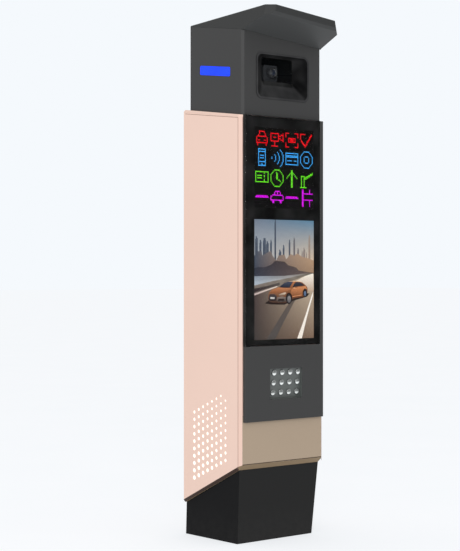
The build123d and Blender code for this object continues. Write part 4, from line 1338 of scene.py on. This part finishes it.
@dataclass
class PictureDisplay(SubAssembly):
    """The portrait display with its lit picture: a skyline, a river road and a plain coupe."""

    title: str = "picture display"
    width: float = 256.4 * MM
    height: float = 381 * MM
    low: float = 645.5 * MM
    gap: float = 0.01 * MM
    thick: float = 0.008 * MM
    warm_from: float = 0.55

    def build(self) -> None:
        """Make every piece."""
        self.dress(["lcd_panel"], SOOT)
        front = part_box("lcd_panel")[0].y
        for number, layer in enumerate([*self.backdrop(), *self.road(), *self.coupe()], 1):
            outline = [((u - 0.5) * self.width, self.low + v * self.height) for u, v in layer.outline]
            xs, zs = zip(*outline)
            tone = PictureTone(f"picture_tone_{layer.name}", layer.low_left, layer.low_right, layer.high_left,
                               layer.high_right, (min(xs), max(xs), min(zs), max(zs)), layer.grain,
                               layer.streak)
            plate = flat_shape(outline, front - number * self.gap, self.thick)
            self.add(f"picture_{layer.name}", plate, tone, "screen_face", smooth=False)

    def tower(self, number: int, u: float, wide: float, top: float) -> Layer:
        """One tower of the skyline, with a stepped top, and warmer towards the right.

        Args:
            number: Its place in the row, which sets the step in its top.
            u: Its middle across the picture.
            wide: Its width.
            top: Its height.

        Returns:
            The tower's layer.
        """
        warm = max(0.0, (u - self.warm_from) / (1 - self.warm_from))
        foot = tuple(a + (b - a) * warm for a, b in zip(paint(48, 54, 68), paint(176, 138, 108)))
        head = tuple(a + (b - a) * warm for a, b in zip(paint(80, 90, 106), paint(164, 150, 140)))
        half = wide / 2
        step = half * (0.25 + 0.25 * (number * 7 % 3))
        corner = u - half * 0.6
        outline = ((u - half, 0.5), (u + half, 0.5), (u + half, top - 0.02), (u + step, top - 0.008),
                   (u + step, top), (corner, top), (corner, top - 0.02), (u - half, top - 0.03))
        return plain(f"tower_{number}", outline, foot, head, 0.5)

    def backdrop(self) -> list[Layer]:
        """Sky, towers, trees and water.

        Returns:
            The layers from the sky forward.
        """
        towers = ((0.035, 0.045, 0.86), (0.10, 0.035, 0.83), (0.165, 0.05, 0.845), (0.215, 0.045, 0.82),
                  (0.275, 0.03, 0.83), (0.345, 0.026, 1.0), (0.425, 0.045, 0.75), (0.485, 0.03, 0.79),
                  (0.585, 0.028, 0.835), (0.665, 0.03, 0.855), (0.73, 0.032, 0.765), (0.80, 0.02, 0.74),
                  (0.835, 0.035, 0.77), (0.875, 0.02, 0.73), (0.925, 0.032, 0.875))
        return [
            Layer("sky", ((0, 0.45), (1, 0.45), (1, 1), (0, 1)), paint(206, 210, 214), paint(255, 218, 168),
                  paint(116, 128, 144), paint(92, 134, 162), 0.2, 3.0),
            *(self.tower(number, *tower) for number, tower in enumerate(towers)),
            Layer("far_blocks", ((0, 0.5), (0, 0.70), (0.05, 0.70), (0.05, 0.735), (0.12, 0.735),
                  (0.13, 0.70), (0.2, 0.72), (0.27, 0.74), (0.3, 0.70), (0.36, 0.66), (0.4, 0.70),
                  (0.5, 0.71), (0.53, 0.67), (0.6, 0.715), (0.66, 0.70), (0.72, 0.72), (0.8, 0.69),
                  (0.9, 0.68), (1, 0.66), (1, 0.5)), paint(52, 58, 74), paint(150, 122, 98),
                  paint(76, 86, 102), paint(196, 162, 130), 0.6, 0.12),
            Layer("trees", ((0, 0.5), (0, 0.595), (0.08, 0.605), (0.16, 0.60), (0.28, 0.625), (0.34, 0.655),
                  (0.5, 0.65), (0.56, 0.62), (0.70, 0.60), (0.74, 0.575), (0.86, 0.565), (1, 0.555),
                  (1, 0.5)), paint(58, 64, 80), paint(110, 92, 84), paint(34, 36, 48), paint(96, 82, 78),
                  1.2, 0.3),
            Layer("river", ((0, 0.40), (0, 0.528), (0.5, 0.530), (0.8, 0.548), (1, 0.553), (1, 0.50),
                  (0.6, 0.47)), paint(198, 212, 224), paint(236, 228, 214), paint(120, 130, 146),
                  paint(140, 126, 112), 0.6, 6.0),
        ]

    def road(self) -> list[Layer]:
        """The kerb, the wall along the water, the road and its lines.

        Returns:
            The layers from the bank forward.
        """
        return [
            Layer("bank", ((0, 0.36), (0, 0.452), (0.3, 0.487), (0.6, 0.515), (0.9, 0.55), (1, 0.556),
                  (1, 0.50), (0.5, 0.45)), paint(76, 60, 58), paint(136, 120, 106), paint(160, 152, 142),
                  paint(104, 98, 86), 1.2, 3.0),
            Layer("wall_shade", ((0, 0.395), (0, 0.425), (0.2, 0.445), (0.42, 0.475), (0.42, 0.455),
                  (0.2, 0.425)), paint(46, 36, 40), paint(70, 60, 60), paint(60, 50, 50), paint(90, 84, 80),
                  0.8),
            Layer("road", ((0, 0), (1, 0), (1, 0.546), (0.85, 0.53), (0.35, 0.435), (0, 0.385)),
                  paint(66, 60, 58), paint(128, 104, 86), paint(74, 58, 58), paint(206, 188, 164), 0.5,
                  0.25),
            Layer("far_road", ((0.55, 0.452), (0.86, 0.530), (0.99, 0.551), (1, 0.40), (0.93, 0.40)),
                  paint(180, 150, 128), paint(196, 170, 146), paint(250, 238, 222), paint(255, 248, 236),
                  0.1),
            Layer("edge_line", ((0, 0.368), (0, 0.384), (0.2, 0.418), (0.38, 0.446), (0.38, 0.438),
                  (0.2, 0.405)), paint(196, 176, 172), paint(226, 206, 190), paint(206, 190, 184),
                  paint(236, 220, 206), 0.1),
            Layer("lane_line", ((0.715, 0.0), (0.795, 0.0), (0.87, 0.155), (0.935, 0.275), (0.985, 0.36),
                  (0.985, 0.395), (0.93, 0.31), (0.86, 0.20), (0.79, 0.10)), paint(250, 240, 228),
                  paint(250, 240, 228), paint(255, 246, 236), paint(255, 250, 242), 0.04),
            Layer("tyre_track", ((0.2, 0.0), (0.34, 0.0), (0.62, 0.27), (0.72, 0.36), (0.66, 0.355),
                  (0.52, 0.26)), paint(80, 76, 74), paint(84, 78, 76), paint(90, 82, 78), paint(104, 92, 84),
                  0.4, 0.3),
        ]

    def coupe(self) -> list[Layer]:
        """A plain orange coupe seen from its front left.

        Returns:
            The layers from the shadow forward.
        """
        rust, glow, dark = paint(138, 82, 50), paint(196, 130, 88), paint(50, 42, 40)
        return [
            plain("car_shadow", ((0.17, 0.302), (0.28, 0.292), (0.5, 0.288), (0.66, 0.322), (0.88, 0.352),
                  (0.93, 0.38), (0.6, 0.40), (0.3, 0.35)), paint(30, 20, 18), paint(48, 34, 28)),
            Layer("car_body", ((0.225, 0.345), (0.24, 0.318), (0.30, 0.305), (0.50, 0.300), (0.56, 0.312),
                  (0.66, 0.340), (0.80, 0.350), (0.88, 0.368), (0.893, 0.40), (0.89, 0.432), (0.862, 0.448),
                  (0.80, 0.475), (0.72, 0.486), (0.60, 0.485), (0.50, 0.470), (0.40, 0.435), (0.30, 0.420),
                  (0.245, 0.395), (0.228, 0.37)), dark, paint(96, 58, 38), glow, rust, 0.4),
            plain("car_bonnet", ((0.245, 0.393), (0.30, 0.418), (0.40, 0.433), (0.58, 0.428), (0.62, 0.420),
                  (0.50, 0.395), (0.36, 0.386)), rust, glow, 0.15),
            plain("car_flank", ((0.61, 0.345), (0.80, 0.362), (0.81, 0.405), (0.885, 0.42), (0.862, 0.443),
                  (0.74, 0.437), (0.62, 0.418), (0.60, 0.38)), paint(112, 66, 40), paint(214, 142, 94), 0.3),
            plain("car_screen", ((0.405, 0.436), (0.50, 0.471), (0.56, 0.482), (0.645, 0.484), (0.61, 0.452),
                  (0.585, 0.430), (0.48, 0.430)), paint(26, 28, 40), paint(70, 76, 96), 0.1),
            plain("car_side_glass", ((0.635, 0.434), (0.66, 0.462), (0.70, 0.478), (0.76, 0.476),
                  (0.82, 0.458), (0.835, 0.448), (0.74, 0.443)), paint(22, 24, 32), paint(60, 62, 74), 0.1),
            plain("car_roof_light", ((0.55, 0.484), (0.66, 0.4875), (0.74, 0.4855), (0.80, 0.4755),
                  (0.72, 0.482), (0.62, 0.483)), paint(250, 196, 150), paint(255, 220, 180), 0.0),
            plain("car_pillar", ((0.595, 0.432), (0.66, 0.482), (0.675, 0.482), (0.632, 0.433)), rust, glow,
                  0.0),
            plain("car_grille", ((0.235, 0.345), (0.25, 0.322), (0.36, 0.322), (0.37, 0.362), (0.33, 0.378),
                  (0.25, 0.378)), paint(34, 30, 34), paint(70, 62, 64), 0.5),
            plain("car_plate", ((0.262, 0.338), (0.332, 0.336), (0.332, 0.352), (0.262, 0.354)),
                  paint(196, 190, 188), paint(214, 210, 206), 0.0),
            plain("car_lamp", ((0.40, 0.372), (0.44, 0.382), (0.51, 0.392), (0.53, 0.386), (0.50, 0.370),
                  (0.42, 0.362)), paint(90, 70, 60), paint(236, 214, 190), 0.1),
            plain("car_bumper", ((0.36, 0.318), (0.38, 0.352), (0.46, 0.358), (0.52, 0.35), (0.53, 0.318),
                  (0.46, 0.308)), paint(56, 48, 46), paint(138, 124, 116), 0.6),
            plain("car_intake", ((0.385, 0.322), (0.40, 0.338), (0.49, 0.338), (0.50, 0.322)),
                  paint(30, 22, 22), paint(40, 30, 28), 0.2),
            plain("car_front_arch", oval(0.575, 0.342, 0.056, 0.047), paint(20, 14, 14), paint(34, 24, 22),
                  0.0),
            plain("car_front_tyre", oval(0.575, 0.333, 0.046, 0.041), paint(30, 28, 30), paint(44, 42, 44),
                  0.0),
            plain("car_front_rim", oval(0.577, 0.333, 0.031, 0.030, 10), paint(96, 92, 94),
                  paint(150, 146, 148), 0.9),
            plain("car_rear_arch", oval(0.848, 0.386, 0.036, 0.036), paint(24, 16, 14), paint(40, 26, 20),
                  0.0),
            plain("car_rear_tyre", oval(0.848, 0.379, 0.029, 0.031), paint(26, 26, 30), paint(40, 40, 44),
                  0.0),
            plain("car_rear_rim", oval(0.849, 0.379, 0.019, 0.022, 10), paint(80, 100, 130),
                  paint(110, 130, 160), 0.9),
            plain("car_mirror", ((0.635, 0.424), (0.66, 0.432), (0.69, 0.43), (0.685, 0.418), (0.65, 0.415)),
                  rust, paint(255, 190, 140), 0.0),
            plain("car_sill_light", ((0.63, 0.352), (0.80, 0.367), (0.80, 0.371), (0.63, 0.357)),
                  paint(236, 160, 110), None, 0.0),
        ]


@dataclass
class DisplayGlass(SubAssembly):
    """The clear cover glass and the black print on its back."""

    title: str = "display glass"
    print_thick: float = 0.03 * MM
    print_inset: float = MM
    print_depth: float = 0.06 * MM
    edge_thick: float = 0.15 * MM
    seal_thick: float = 0.9 * MM

    def build(self) -> None:
        """Make every piece."""
        self.soften("display_glass", CLEAR, "black_glass", 0.5)
        low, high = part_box("display_glass")
        led_low, led_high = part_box("led_modules")
        picture = PictureDisplay()
        half = picture.width / 2
        windows = [(-half, half, picture.low, picture.low + picture.height),
                   (led_low.x, led_high.x, led_low.z, led_high.z)]
        outer = (low.x + self.print_inset, high.x - self.print_inset, low.z + self.print_inset,
                 high.z - self.print_inset)
        black = framed_plate(outer, windows, high.y - self.print_depth, self.print_thick)
        self.add("glass_back_print", black, BLACK_PRINT_AND_SHADE, "black_glass", smooth=False)
        self.edges(low, high)

    def edges(self, low: Vector, high: Vector) -> None:
        """Put a black strip as painted shade on the glass's left edge and over the rail behind it, and seal
        its top against the head.

        Args:
            low: The glass's lowest corner.
            high: Its highest corner.
        """
        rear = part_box("display_rails")[1].y
        # Painted shade: a black strip hides the grey side of the left rail.
        left = block(Vector((low.x - self.edge_thick, low.y + 0.6 * MM, low.z + 0.5 * MM)),
                     Vector((low.x, rear, high.z)), 0.05)
        top = block(Vector((low.x, low.y + 0.8 * MM, high.z)),
                    Vector((high.x, rear - 0.1 * MM, high.z + self.seal_thick)), 0.2)
        self.add("glass_edge_shade_and_seal", merged([left, top]), BLACK_PRINT_AND_SHADE, "black_glass", smooth=False)


@dataclass
class FillLight(SubAssembly):
    """The light on the front cover: tray, board and twelve reflector lenses."""

    title: str = "fill light"
    tilt_deg: float = 6.0
    chip_mm: tuple[float, float] = (2.0, 1.0)
    cup: tuple[Point, ...] = ((0.0, 0.0), (0.0, 0.35), (0.55, 0.80), (0.60, 0.98), (0.0, 1.0))
    cup_back: float = 0.2 * MM

    def build(self) -> None:
        """Make every piece."""
        self.soften("fill_light_tray", TRAY, "tray_grey", 0.5)
        self.dress(["fill_light_board"], BOARD)
        tilt = math.radians(self.tilt_deg)
        facing = Vector((0.0, -math.cos(tilt), -math.sin(tilt)))
        half, deep = self.chip_mm
        cups, domes, chips = [], [], []
        for centre, radius, rise in self.lens_centres():
            cup = [(rise * along, radius * out) for along, out in self.cup]
            cups.append(turned([*cup, (-self.cup_back, radius)], centre, facing, 28))
            domes.append(turned(dome(rise * 0.4, rise * 0.58, radius * 0.86, 15), centre, facing, 28))
            chips.append(block(centre - Vector((half, deep, half)) * MM,
                               centre + Vector((half, 0, half)) * MM, 0.3))
        self.add("fill_light_reflectors", merged(cups), BRIGHT, "clear_lens", ["fill_light_lenses"])
        # The domes carry painted reflection and painted light.
        self.add("fill_light_domes", merged(domes), DOME_PAINTED_REFLECTION_AND_LIGHT, "clear_lens")
        self.add("fill_light_chips", merged(chips), CHIP, "clear_lens")

    def lens_centres(self) -> list[tuple[Vector, float, float]]:
        """Find each CAD lens by its loose part.

        Returns:
            Foot centre, radius and rise of each lens, from the top row down.
        """
        mesh = bmesh.new()
        mesh.from_mesh(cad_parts["fill_light_lenses"].data)
        bmesh.ops.remove_doubles(mesh, verts=mesh.verts, dist=WELD)
        left = set(mesh.verts)
        found = []
        while left:
            group, border = set(), [left.pop()]
            while border:
                vert = border.pop()
                group.add(vert)
                near = {edge.other_vert(vert) for edge in vert.link_edges} & left
                left -= near
                border.extend(near)
            xs, ys, zs = zip(*(vert.co for vert in group))
            radius = (max(xs) - min(xs)) / 2
            foot = max(ys) - radius * math.sin(math.radians(self.tilt_deg))
            found.append((Vector(((max(xs) + min(xs)) / 2, foot, (max(zs) + min(zs)) / 2)), radius,
                          foot - min(ys)))
        mesh.free()
        return sorted(found, key=lambda item: (-round(item[0].z, 3), item[0].x))


@dataclass
class CameraHead(SubAssembly):
    """The head: housing, hood, niche, window and side lights."""

    title: str = "camera head"
    ribs: int = 26
    rib_share: float = 0.44
    rib_margin: float = 4 * MM
    rib_low: tuple[float, float] = (8.5 * MM, 15 * MM)
    rib_high: tuple[float, float] = (1 * MM, 2 * MM)

    def build(self) -> None:
        """Make every piece."""
        self.soften("head_housing", GREY, "grey_paint", 0.9, 3, 30.0)
        # The hood takes the grey coat darkened as painted shade, with painted light on its underside.
        self.soften("hood", GREY_HOOD_SHADED_AND_LIT, "grey_paint", 1.2, 3, 12.0)
        self.soften("head_rear_cover", GREY, "grey_paint", 0.6)
        # The niche takes painted shade on its walls and painted light on its floor and lip.
        self.soften("camera_bezel", NICHE_SHADE_AND_LIGHT, "black_plastic", 0.6, 2, 40.0)
        self.soften("camera_window", SMOKED, "dark_glass", 0.4)
        for side in ("left", "right"):
            self.soften(f"side_light_{side}", BLUE, "blue_light", 0.6, 3, 40.0)
        self.dress(["side_light_boards"], SOOT)
        self.dress(["head_cover_screws"], STAINLESS)
        self.dress(["camera_shelf"], ZINC)
        self.niche_ribs()

    def niche_ribs(self) -> None:
        """Add the row of fine ribs on the niche's floor, under the window."""
        low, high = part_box("camera_window")
        step = (high.x - low.x - 2 * self.rib_margin) / self.ribs
        half = step * self.rib_share / 2
        bars = []
        for number in range(self.ribs):
            x = low.x + self.rib_margin + step * (number + 0.5)
            bars.append(block(Vector((x - half, low.y - self.rib_low[0], low.z - self.rib_low[1])),
                              Vector((x + half, low.y - self.rib_high[0], low.z + self.rib_high[1])), 0.3))
        # The ribs take the black moulding darkened as painted shade.
        self.add("niche_ribs", merged(bars), NICHE_SHADED_BLACK, "black_plastic")


@dataclass
class CameraUnit(SubAssembly):
    """The camera on its fork; the lens's outlines are in shares of its length and its radius."""

    title: str = "camera"
    barrel: tuple[Point, ...] = ((0, 0), (0, 0.88), (0.2, 0.88), (0.22, 1), (0.6, 1), (0.63, 0.88),
                                 (0.88, 0.88),
                                 (0.9, 0.66), (0.7, 0.6), (0.7, 0))
    ring: tuple[Point, ...] = ((0.885, 0.86), (0.91, 0.84), (0.91, 0.70), (0.885, 0.68))

    def build(self) -> None:
        """Make every piece."""
        self.soften("camera_yoke", SOOT, "black_plastic", 0.5, body="camera_yoke")
        self.soften("camera_body", CASE_GREY, "camera_case", 0.6, sharp_deg=50.0, body="camera")
        low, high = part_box("camera_lens")
        centre = Vector(((low.x + high.x) / 2, high.y, (low.z + high.z) / 2))
        radius, length = (high.x - low.x) / 2, high.y - low.y
        facing = Vector((0.0, -1.0, 0.0))
        barrel, ring = ([(length * along, radius * out) for along,
                         out in shares] for shares in (self.barrel, self.ring))
        self.add("camera_lens_barrel", turned(barrel, centre, facing, 48), LENS_BLACK, "lens_black",
                 ["camera_lens"], "camera")
        self.add("camera_lens_ring", turned(ring, centre, facing, 48), BRIGHT, "lens_black", body="camera")
        bead = dome(length * 0.71, length * 0.2, radius * 0.58, 10)
        self.add("camera_lens_front", turned(bead, centre, facing, 40), LENS_GLASS, "dark_glass",
                 body="camera")


@dataclass
class RearDoor(SubAssembly):
    """The rear door with its louvres, gasket and hinges."""

    title: str = "rear door"
    body: str = "rear_door"
    hood_rise: float = 4 * MM
    hood_side: float = 3 * MM
    slot_pitch: float = 12 * MM
    slots: int = 8
    vents: tuple[Point, ...] = ((48 * MM, 1136 * MM), (60 * MM, 330 * MM))

    def build(self) -> None:
        """Make every piece."""
        self.soften("rear_door", ROSE, "rose_paint", 0.5)
        self.dress(["door_gasket"], RUBBER)
        self.soften("hinge_door_leaves", STAINLESS, "stainless", 0.4)
        self.soften("hinge_frame_leaves", STAINLESS, "stainless", 0.4, body="cabinet")
        self.dress(["hinge_pins"], STAINLESS)
        self.louvres()

    def louvres(self) -> None:
        """Add a pressed hood over each vent slot."""
        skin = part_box("rear_door")[1].y
        fan_low, fan_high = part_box("fan_frame")
        middle = (fan_low.x + fan_high.x) / 2
        hoods = [self.louvre(middle, half, skin, first + self.slot_pitch * number)
                 for half, first in self.vents for number in range(self.slots)]
        self.add("door_louvres", merged(hoods), ROSE, "rose_paint")

    def louvre(self, middle: float, half: float, skin: float, z: float) -> bmesh.types.BMesh:
        """One louvre: a bar whose foot is pinched in to the door.

        Args:
            middle: Centre across the door.
            half: Half the louvre's width.
            skin: The door's outer face.
            z: The slot's lower edge.

        Returns:
            The louvre's mesh.
        """
        reach = half + self.hood_side
        mesh = block(Vector((middle - reach, skin - 0.2 * MM, z + 4.2 * MM)),
                     Vector((middle + reach, skin + self.hood_rise, z + 9.5 * MM)))
        top = [vert for vert in mesh.verts if vert.co.z > z + 7 * MM and vert.co.y > skin + MM]
        bmesh.ops.translate(mesh, verts=top, vec=(0.0, -self.hood_rise * 0.85, 0.0))
        for vert in top:
            vert.co.x += (middle - vert.co.x) * 0.05
        round_edges(mesh, mesh.edges, 0.5)
        return mesh


@dataclass
class DoorLock(SubAssembly):
    """The lock: plate, handle, cam, rods and their guides."""

    title: str = "door lock"
    body: str = "rear_door"
    cover_mm: tuple[Point, ...] = ((0.0, 0.0), (0.0, 4.2), (0.8, 4.2), (1.1, 3.6), (1.1, 0.0))
    cover_depth: float = 1.2 * MM

    def build(self) -> None:
        """Make every piece."""
        self.soften("lock_body", GREY, "grey_paint", 0.8, 3, 40.0)
        self.soften("lock_handle", STAINLESS, "stainless", 1.2, 3, 50.0, body="lock")
        self.dress(["lock_cam", "lock_rod_upper", "lock_rod_lower"], ZINC)
        self.dress(["rod_guides"], SOOT)
        self.key_cover()

    def key_cover(self) -> None:
        """Add the key cover on the handle's face."""
        low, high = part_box("lock_handle")
        centre = Vector(((low.x + high.x) / 2, high.y - self.cover_depth, (low.z + high.z) / 2))
        disc = turned([(along * MM, out * MM) for along, out in self.cover_mm], centre,
                      Vector((0.0, 1.0, 0.0)))
        self.add("key_cover", disc, BRASS, "brass", body="lock")


@dataclass
class DoorFan(SubAssembly):
    """The exhaust fan behind the upper louvres."""

    title: str = "door fan"
    body: str = "rear_door"

    def build(self) -> None:
        """Make every piece."""
        self.soften("fan_frame", SOOT, "black_plastic", 0.6, 2, 40.0)
        self.dress(["fan_rotor"], SOOT)
        self.dress(["fan_guard"], STAINLESS)


@dataclass
class Electrics(SubAssembly):
    """The mounting plate and what it carries."""

    title: str = "electrics"

    def build(self) -> None:
        """Make every piece."""
        self.dress(["equipment_plate", "din_rail"], ZINC)
        self.soften("power_supply", ALUMINIUM, "aluminium", 1.0)
        self.dress(["board_standoffs"], BRASS)
        self.dress(["controller_board"], BOARD)
        self.soften("circuit_breaker", IVORY, "white_plastic", 0.8)
        self.soften("breaker_toggle", SOOT, "black_plastic", 0.5, sharp_deg=50.0, body="breaker_toggle")
        self.soften("terminal_blocks", IVORY, "white_plastic", 0.4)


# ---- Studio ----
@dataclass
class Studio:
    """Pale floor, soft light and the camera."""

    eye: tuple[float, float, float] = (-3.2439, -3.7310, 0.8570)
    heading_deg: float = -40.13
    lens_mm: float = 98.45
    shift_y: float = -0.0047
    backdrop: Colour = paint(245, 249, 253)
    fill: float = 0.82
    key_watts: float = 150.0
    key_size: float = 2.5
    key_place: tuple[float, float, float] = (-4.6, -5.2, 2.6)
    key_target: tuple[float, float, float] = (0.0, 0.0, 0.9)
    card_half: float = 2.6
    card_place: tuple[float, float, float] = (4.6, -6.2, 1.5)
    card_turn_deg: float = 40.0
    floor_half: float = 60.0
    floor_share: float = 0.36
    floor_glow: float = 0.685

    def build(self) -> None:
        """Make the floor, the world, the lights and the camera."""
        self.floor()
        self.world()
        self.key_light()
        self.dark_card()
        self.camera()
        bpy.context.scene.view_settings.view_transform = "Standard"

    @staticmethod
    def sheet(name: str, half: float, place: Matrix, material: bpy.types.Material) -> bpy.types.Object:
        """Make a square sheet.

        Args:
            name: The sheet's name.
            half: Half its width.
            place: Where it is and how it's turned.
            material: Its surface.

        Returns:
            The sheet.
        """
        mesh = bmesh.new()
        bmesh.ops.create_grid(mesh, x_segments=1, y_segments=1, size=half, matrix=place)
        made = linked(name, as_mesh(name, mesh))
        made.data.materials.append(material)
        return made

    def floor(self) -> None:
        """Lay a wide pale floor."""
        shader = Shader("pale_floor")
        graph = shader.graph
        tone = graph.blend(graph.noise(graph.place(), 2.0), paint(246, 249, 252), paint(249, 251, 254))
        shader.set(Base_Color=graph.blend(self.floor_share, (0.0, 0.0, 0.0), tone), Roughness=0.9,
                   Specular_IOR_Level=0.0, Emission_Color=tone, Emission_Strength=self.floor_glow)
        self.sheet("studio_floor", self.floor_half, Matrix.Identity(4), shader.made)

    def world(self) -> None:
        """Fill the room with even light, and show a pale backdrop."""
        world = bpy.data.worlds.new("studio")
        bpy.context.scene.world = world
        world.use_nodes = True
        graph = Graph(world.node_tree)
        light = world.node_tree.nodes["Background"]
        graph.fill(light, Color=(1.0, 1.0, 1.0), Strength=self.fill)
        shown = graph.add("Background")
        graph.fill(shown, Color=self.backdrop)
        mix = graph.add("MixShader")
        seen = graph.add("LightPath").outputs["Is Camera Ray"]
        for socket, value in zip(mix.inputs, (seen, light.outputs[0], shown.outputs[0])):
            graph.feed(socket, value)
        graph.feed(world.node_tree.nodes["World Output"].inputs["Surface"], mix.outputs[0])

    def key_light(self) -> None:
        """Hang a wide soft light high behind the camera."""
        data = bpy.data.lights.new("key_softbox", "AREA")
        data.size = self.key_size
        data.energy = self.key_watts
        lamp = linked("key_softbox", data)
        lamp.location = self.key_place
        lamp.rotation_euler = (Vector(self.key_target) - lamp.location).to_track_quat("-Z", "Y").to_euler()

    def dark_card(self) -> None:
        """Stand a black card where the front glass mirrors the room; only gloss sees it."""
        place = (Matrix.Translation(self.card_place) @ Matrix.Rotation(math.radians(self.card_turn_deg), 4,
                                                                       "Z")
                 @ Matrix.Rotation(math.radians(90), 4, "X"))
        card = self.sheet("dark_card", self.card_half, place, CARD_BLACK.material())
        card.visible_camera = False
        card.visible_diffuse = False
        card.visible_shadow = False

    def camera(self) -> None:
        """Set the camera level with the middle of the column."""
        data = bpy.data.cameras.new("camera")
        data.lens = self.lens_mm
        data.sensor_width = 36.0
        data.shift_y = self.shift_y
        camera = linked("camera", data)
        camera.location = self.eye
        camera.rotation_euler = (math.radians(90), 0.0, math.radians(self.heading_deg))
        bpy.context.scene.camera = camera


def main() -> None:
    """Build every sub-assembly in order and report its pieces."""
    logging.basicConfig(level=logging.INFO, format="%(message)s")
    Studio().build()
    groups: list[SubAssembly] = [
        Foot(), BodyShell(), FrontCovers(), LightMatrix(), PictureDisplay(), DisplayGlass(), FillLight(),
        CameraHead(),
        CameraUnit(), RearDoor(), DoorLock(), DoorFan(), Electrics(),
    ]
    for group in groups:
        group.build()
        group.report()


if __name__ == "__main__":
    main()
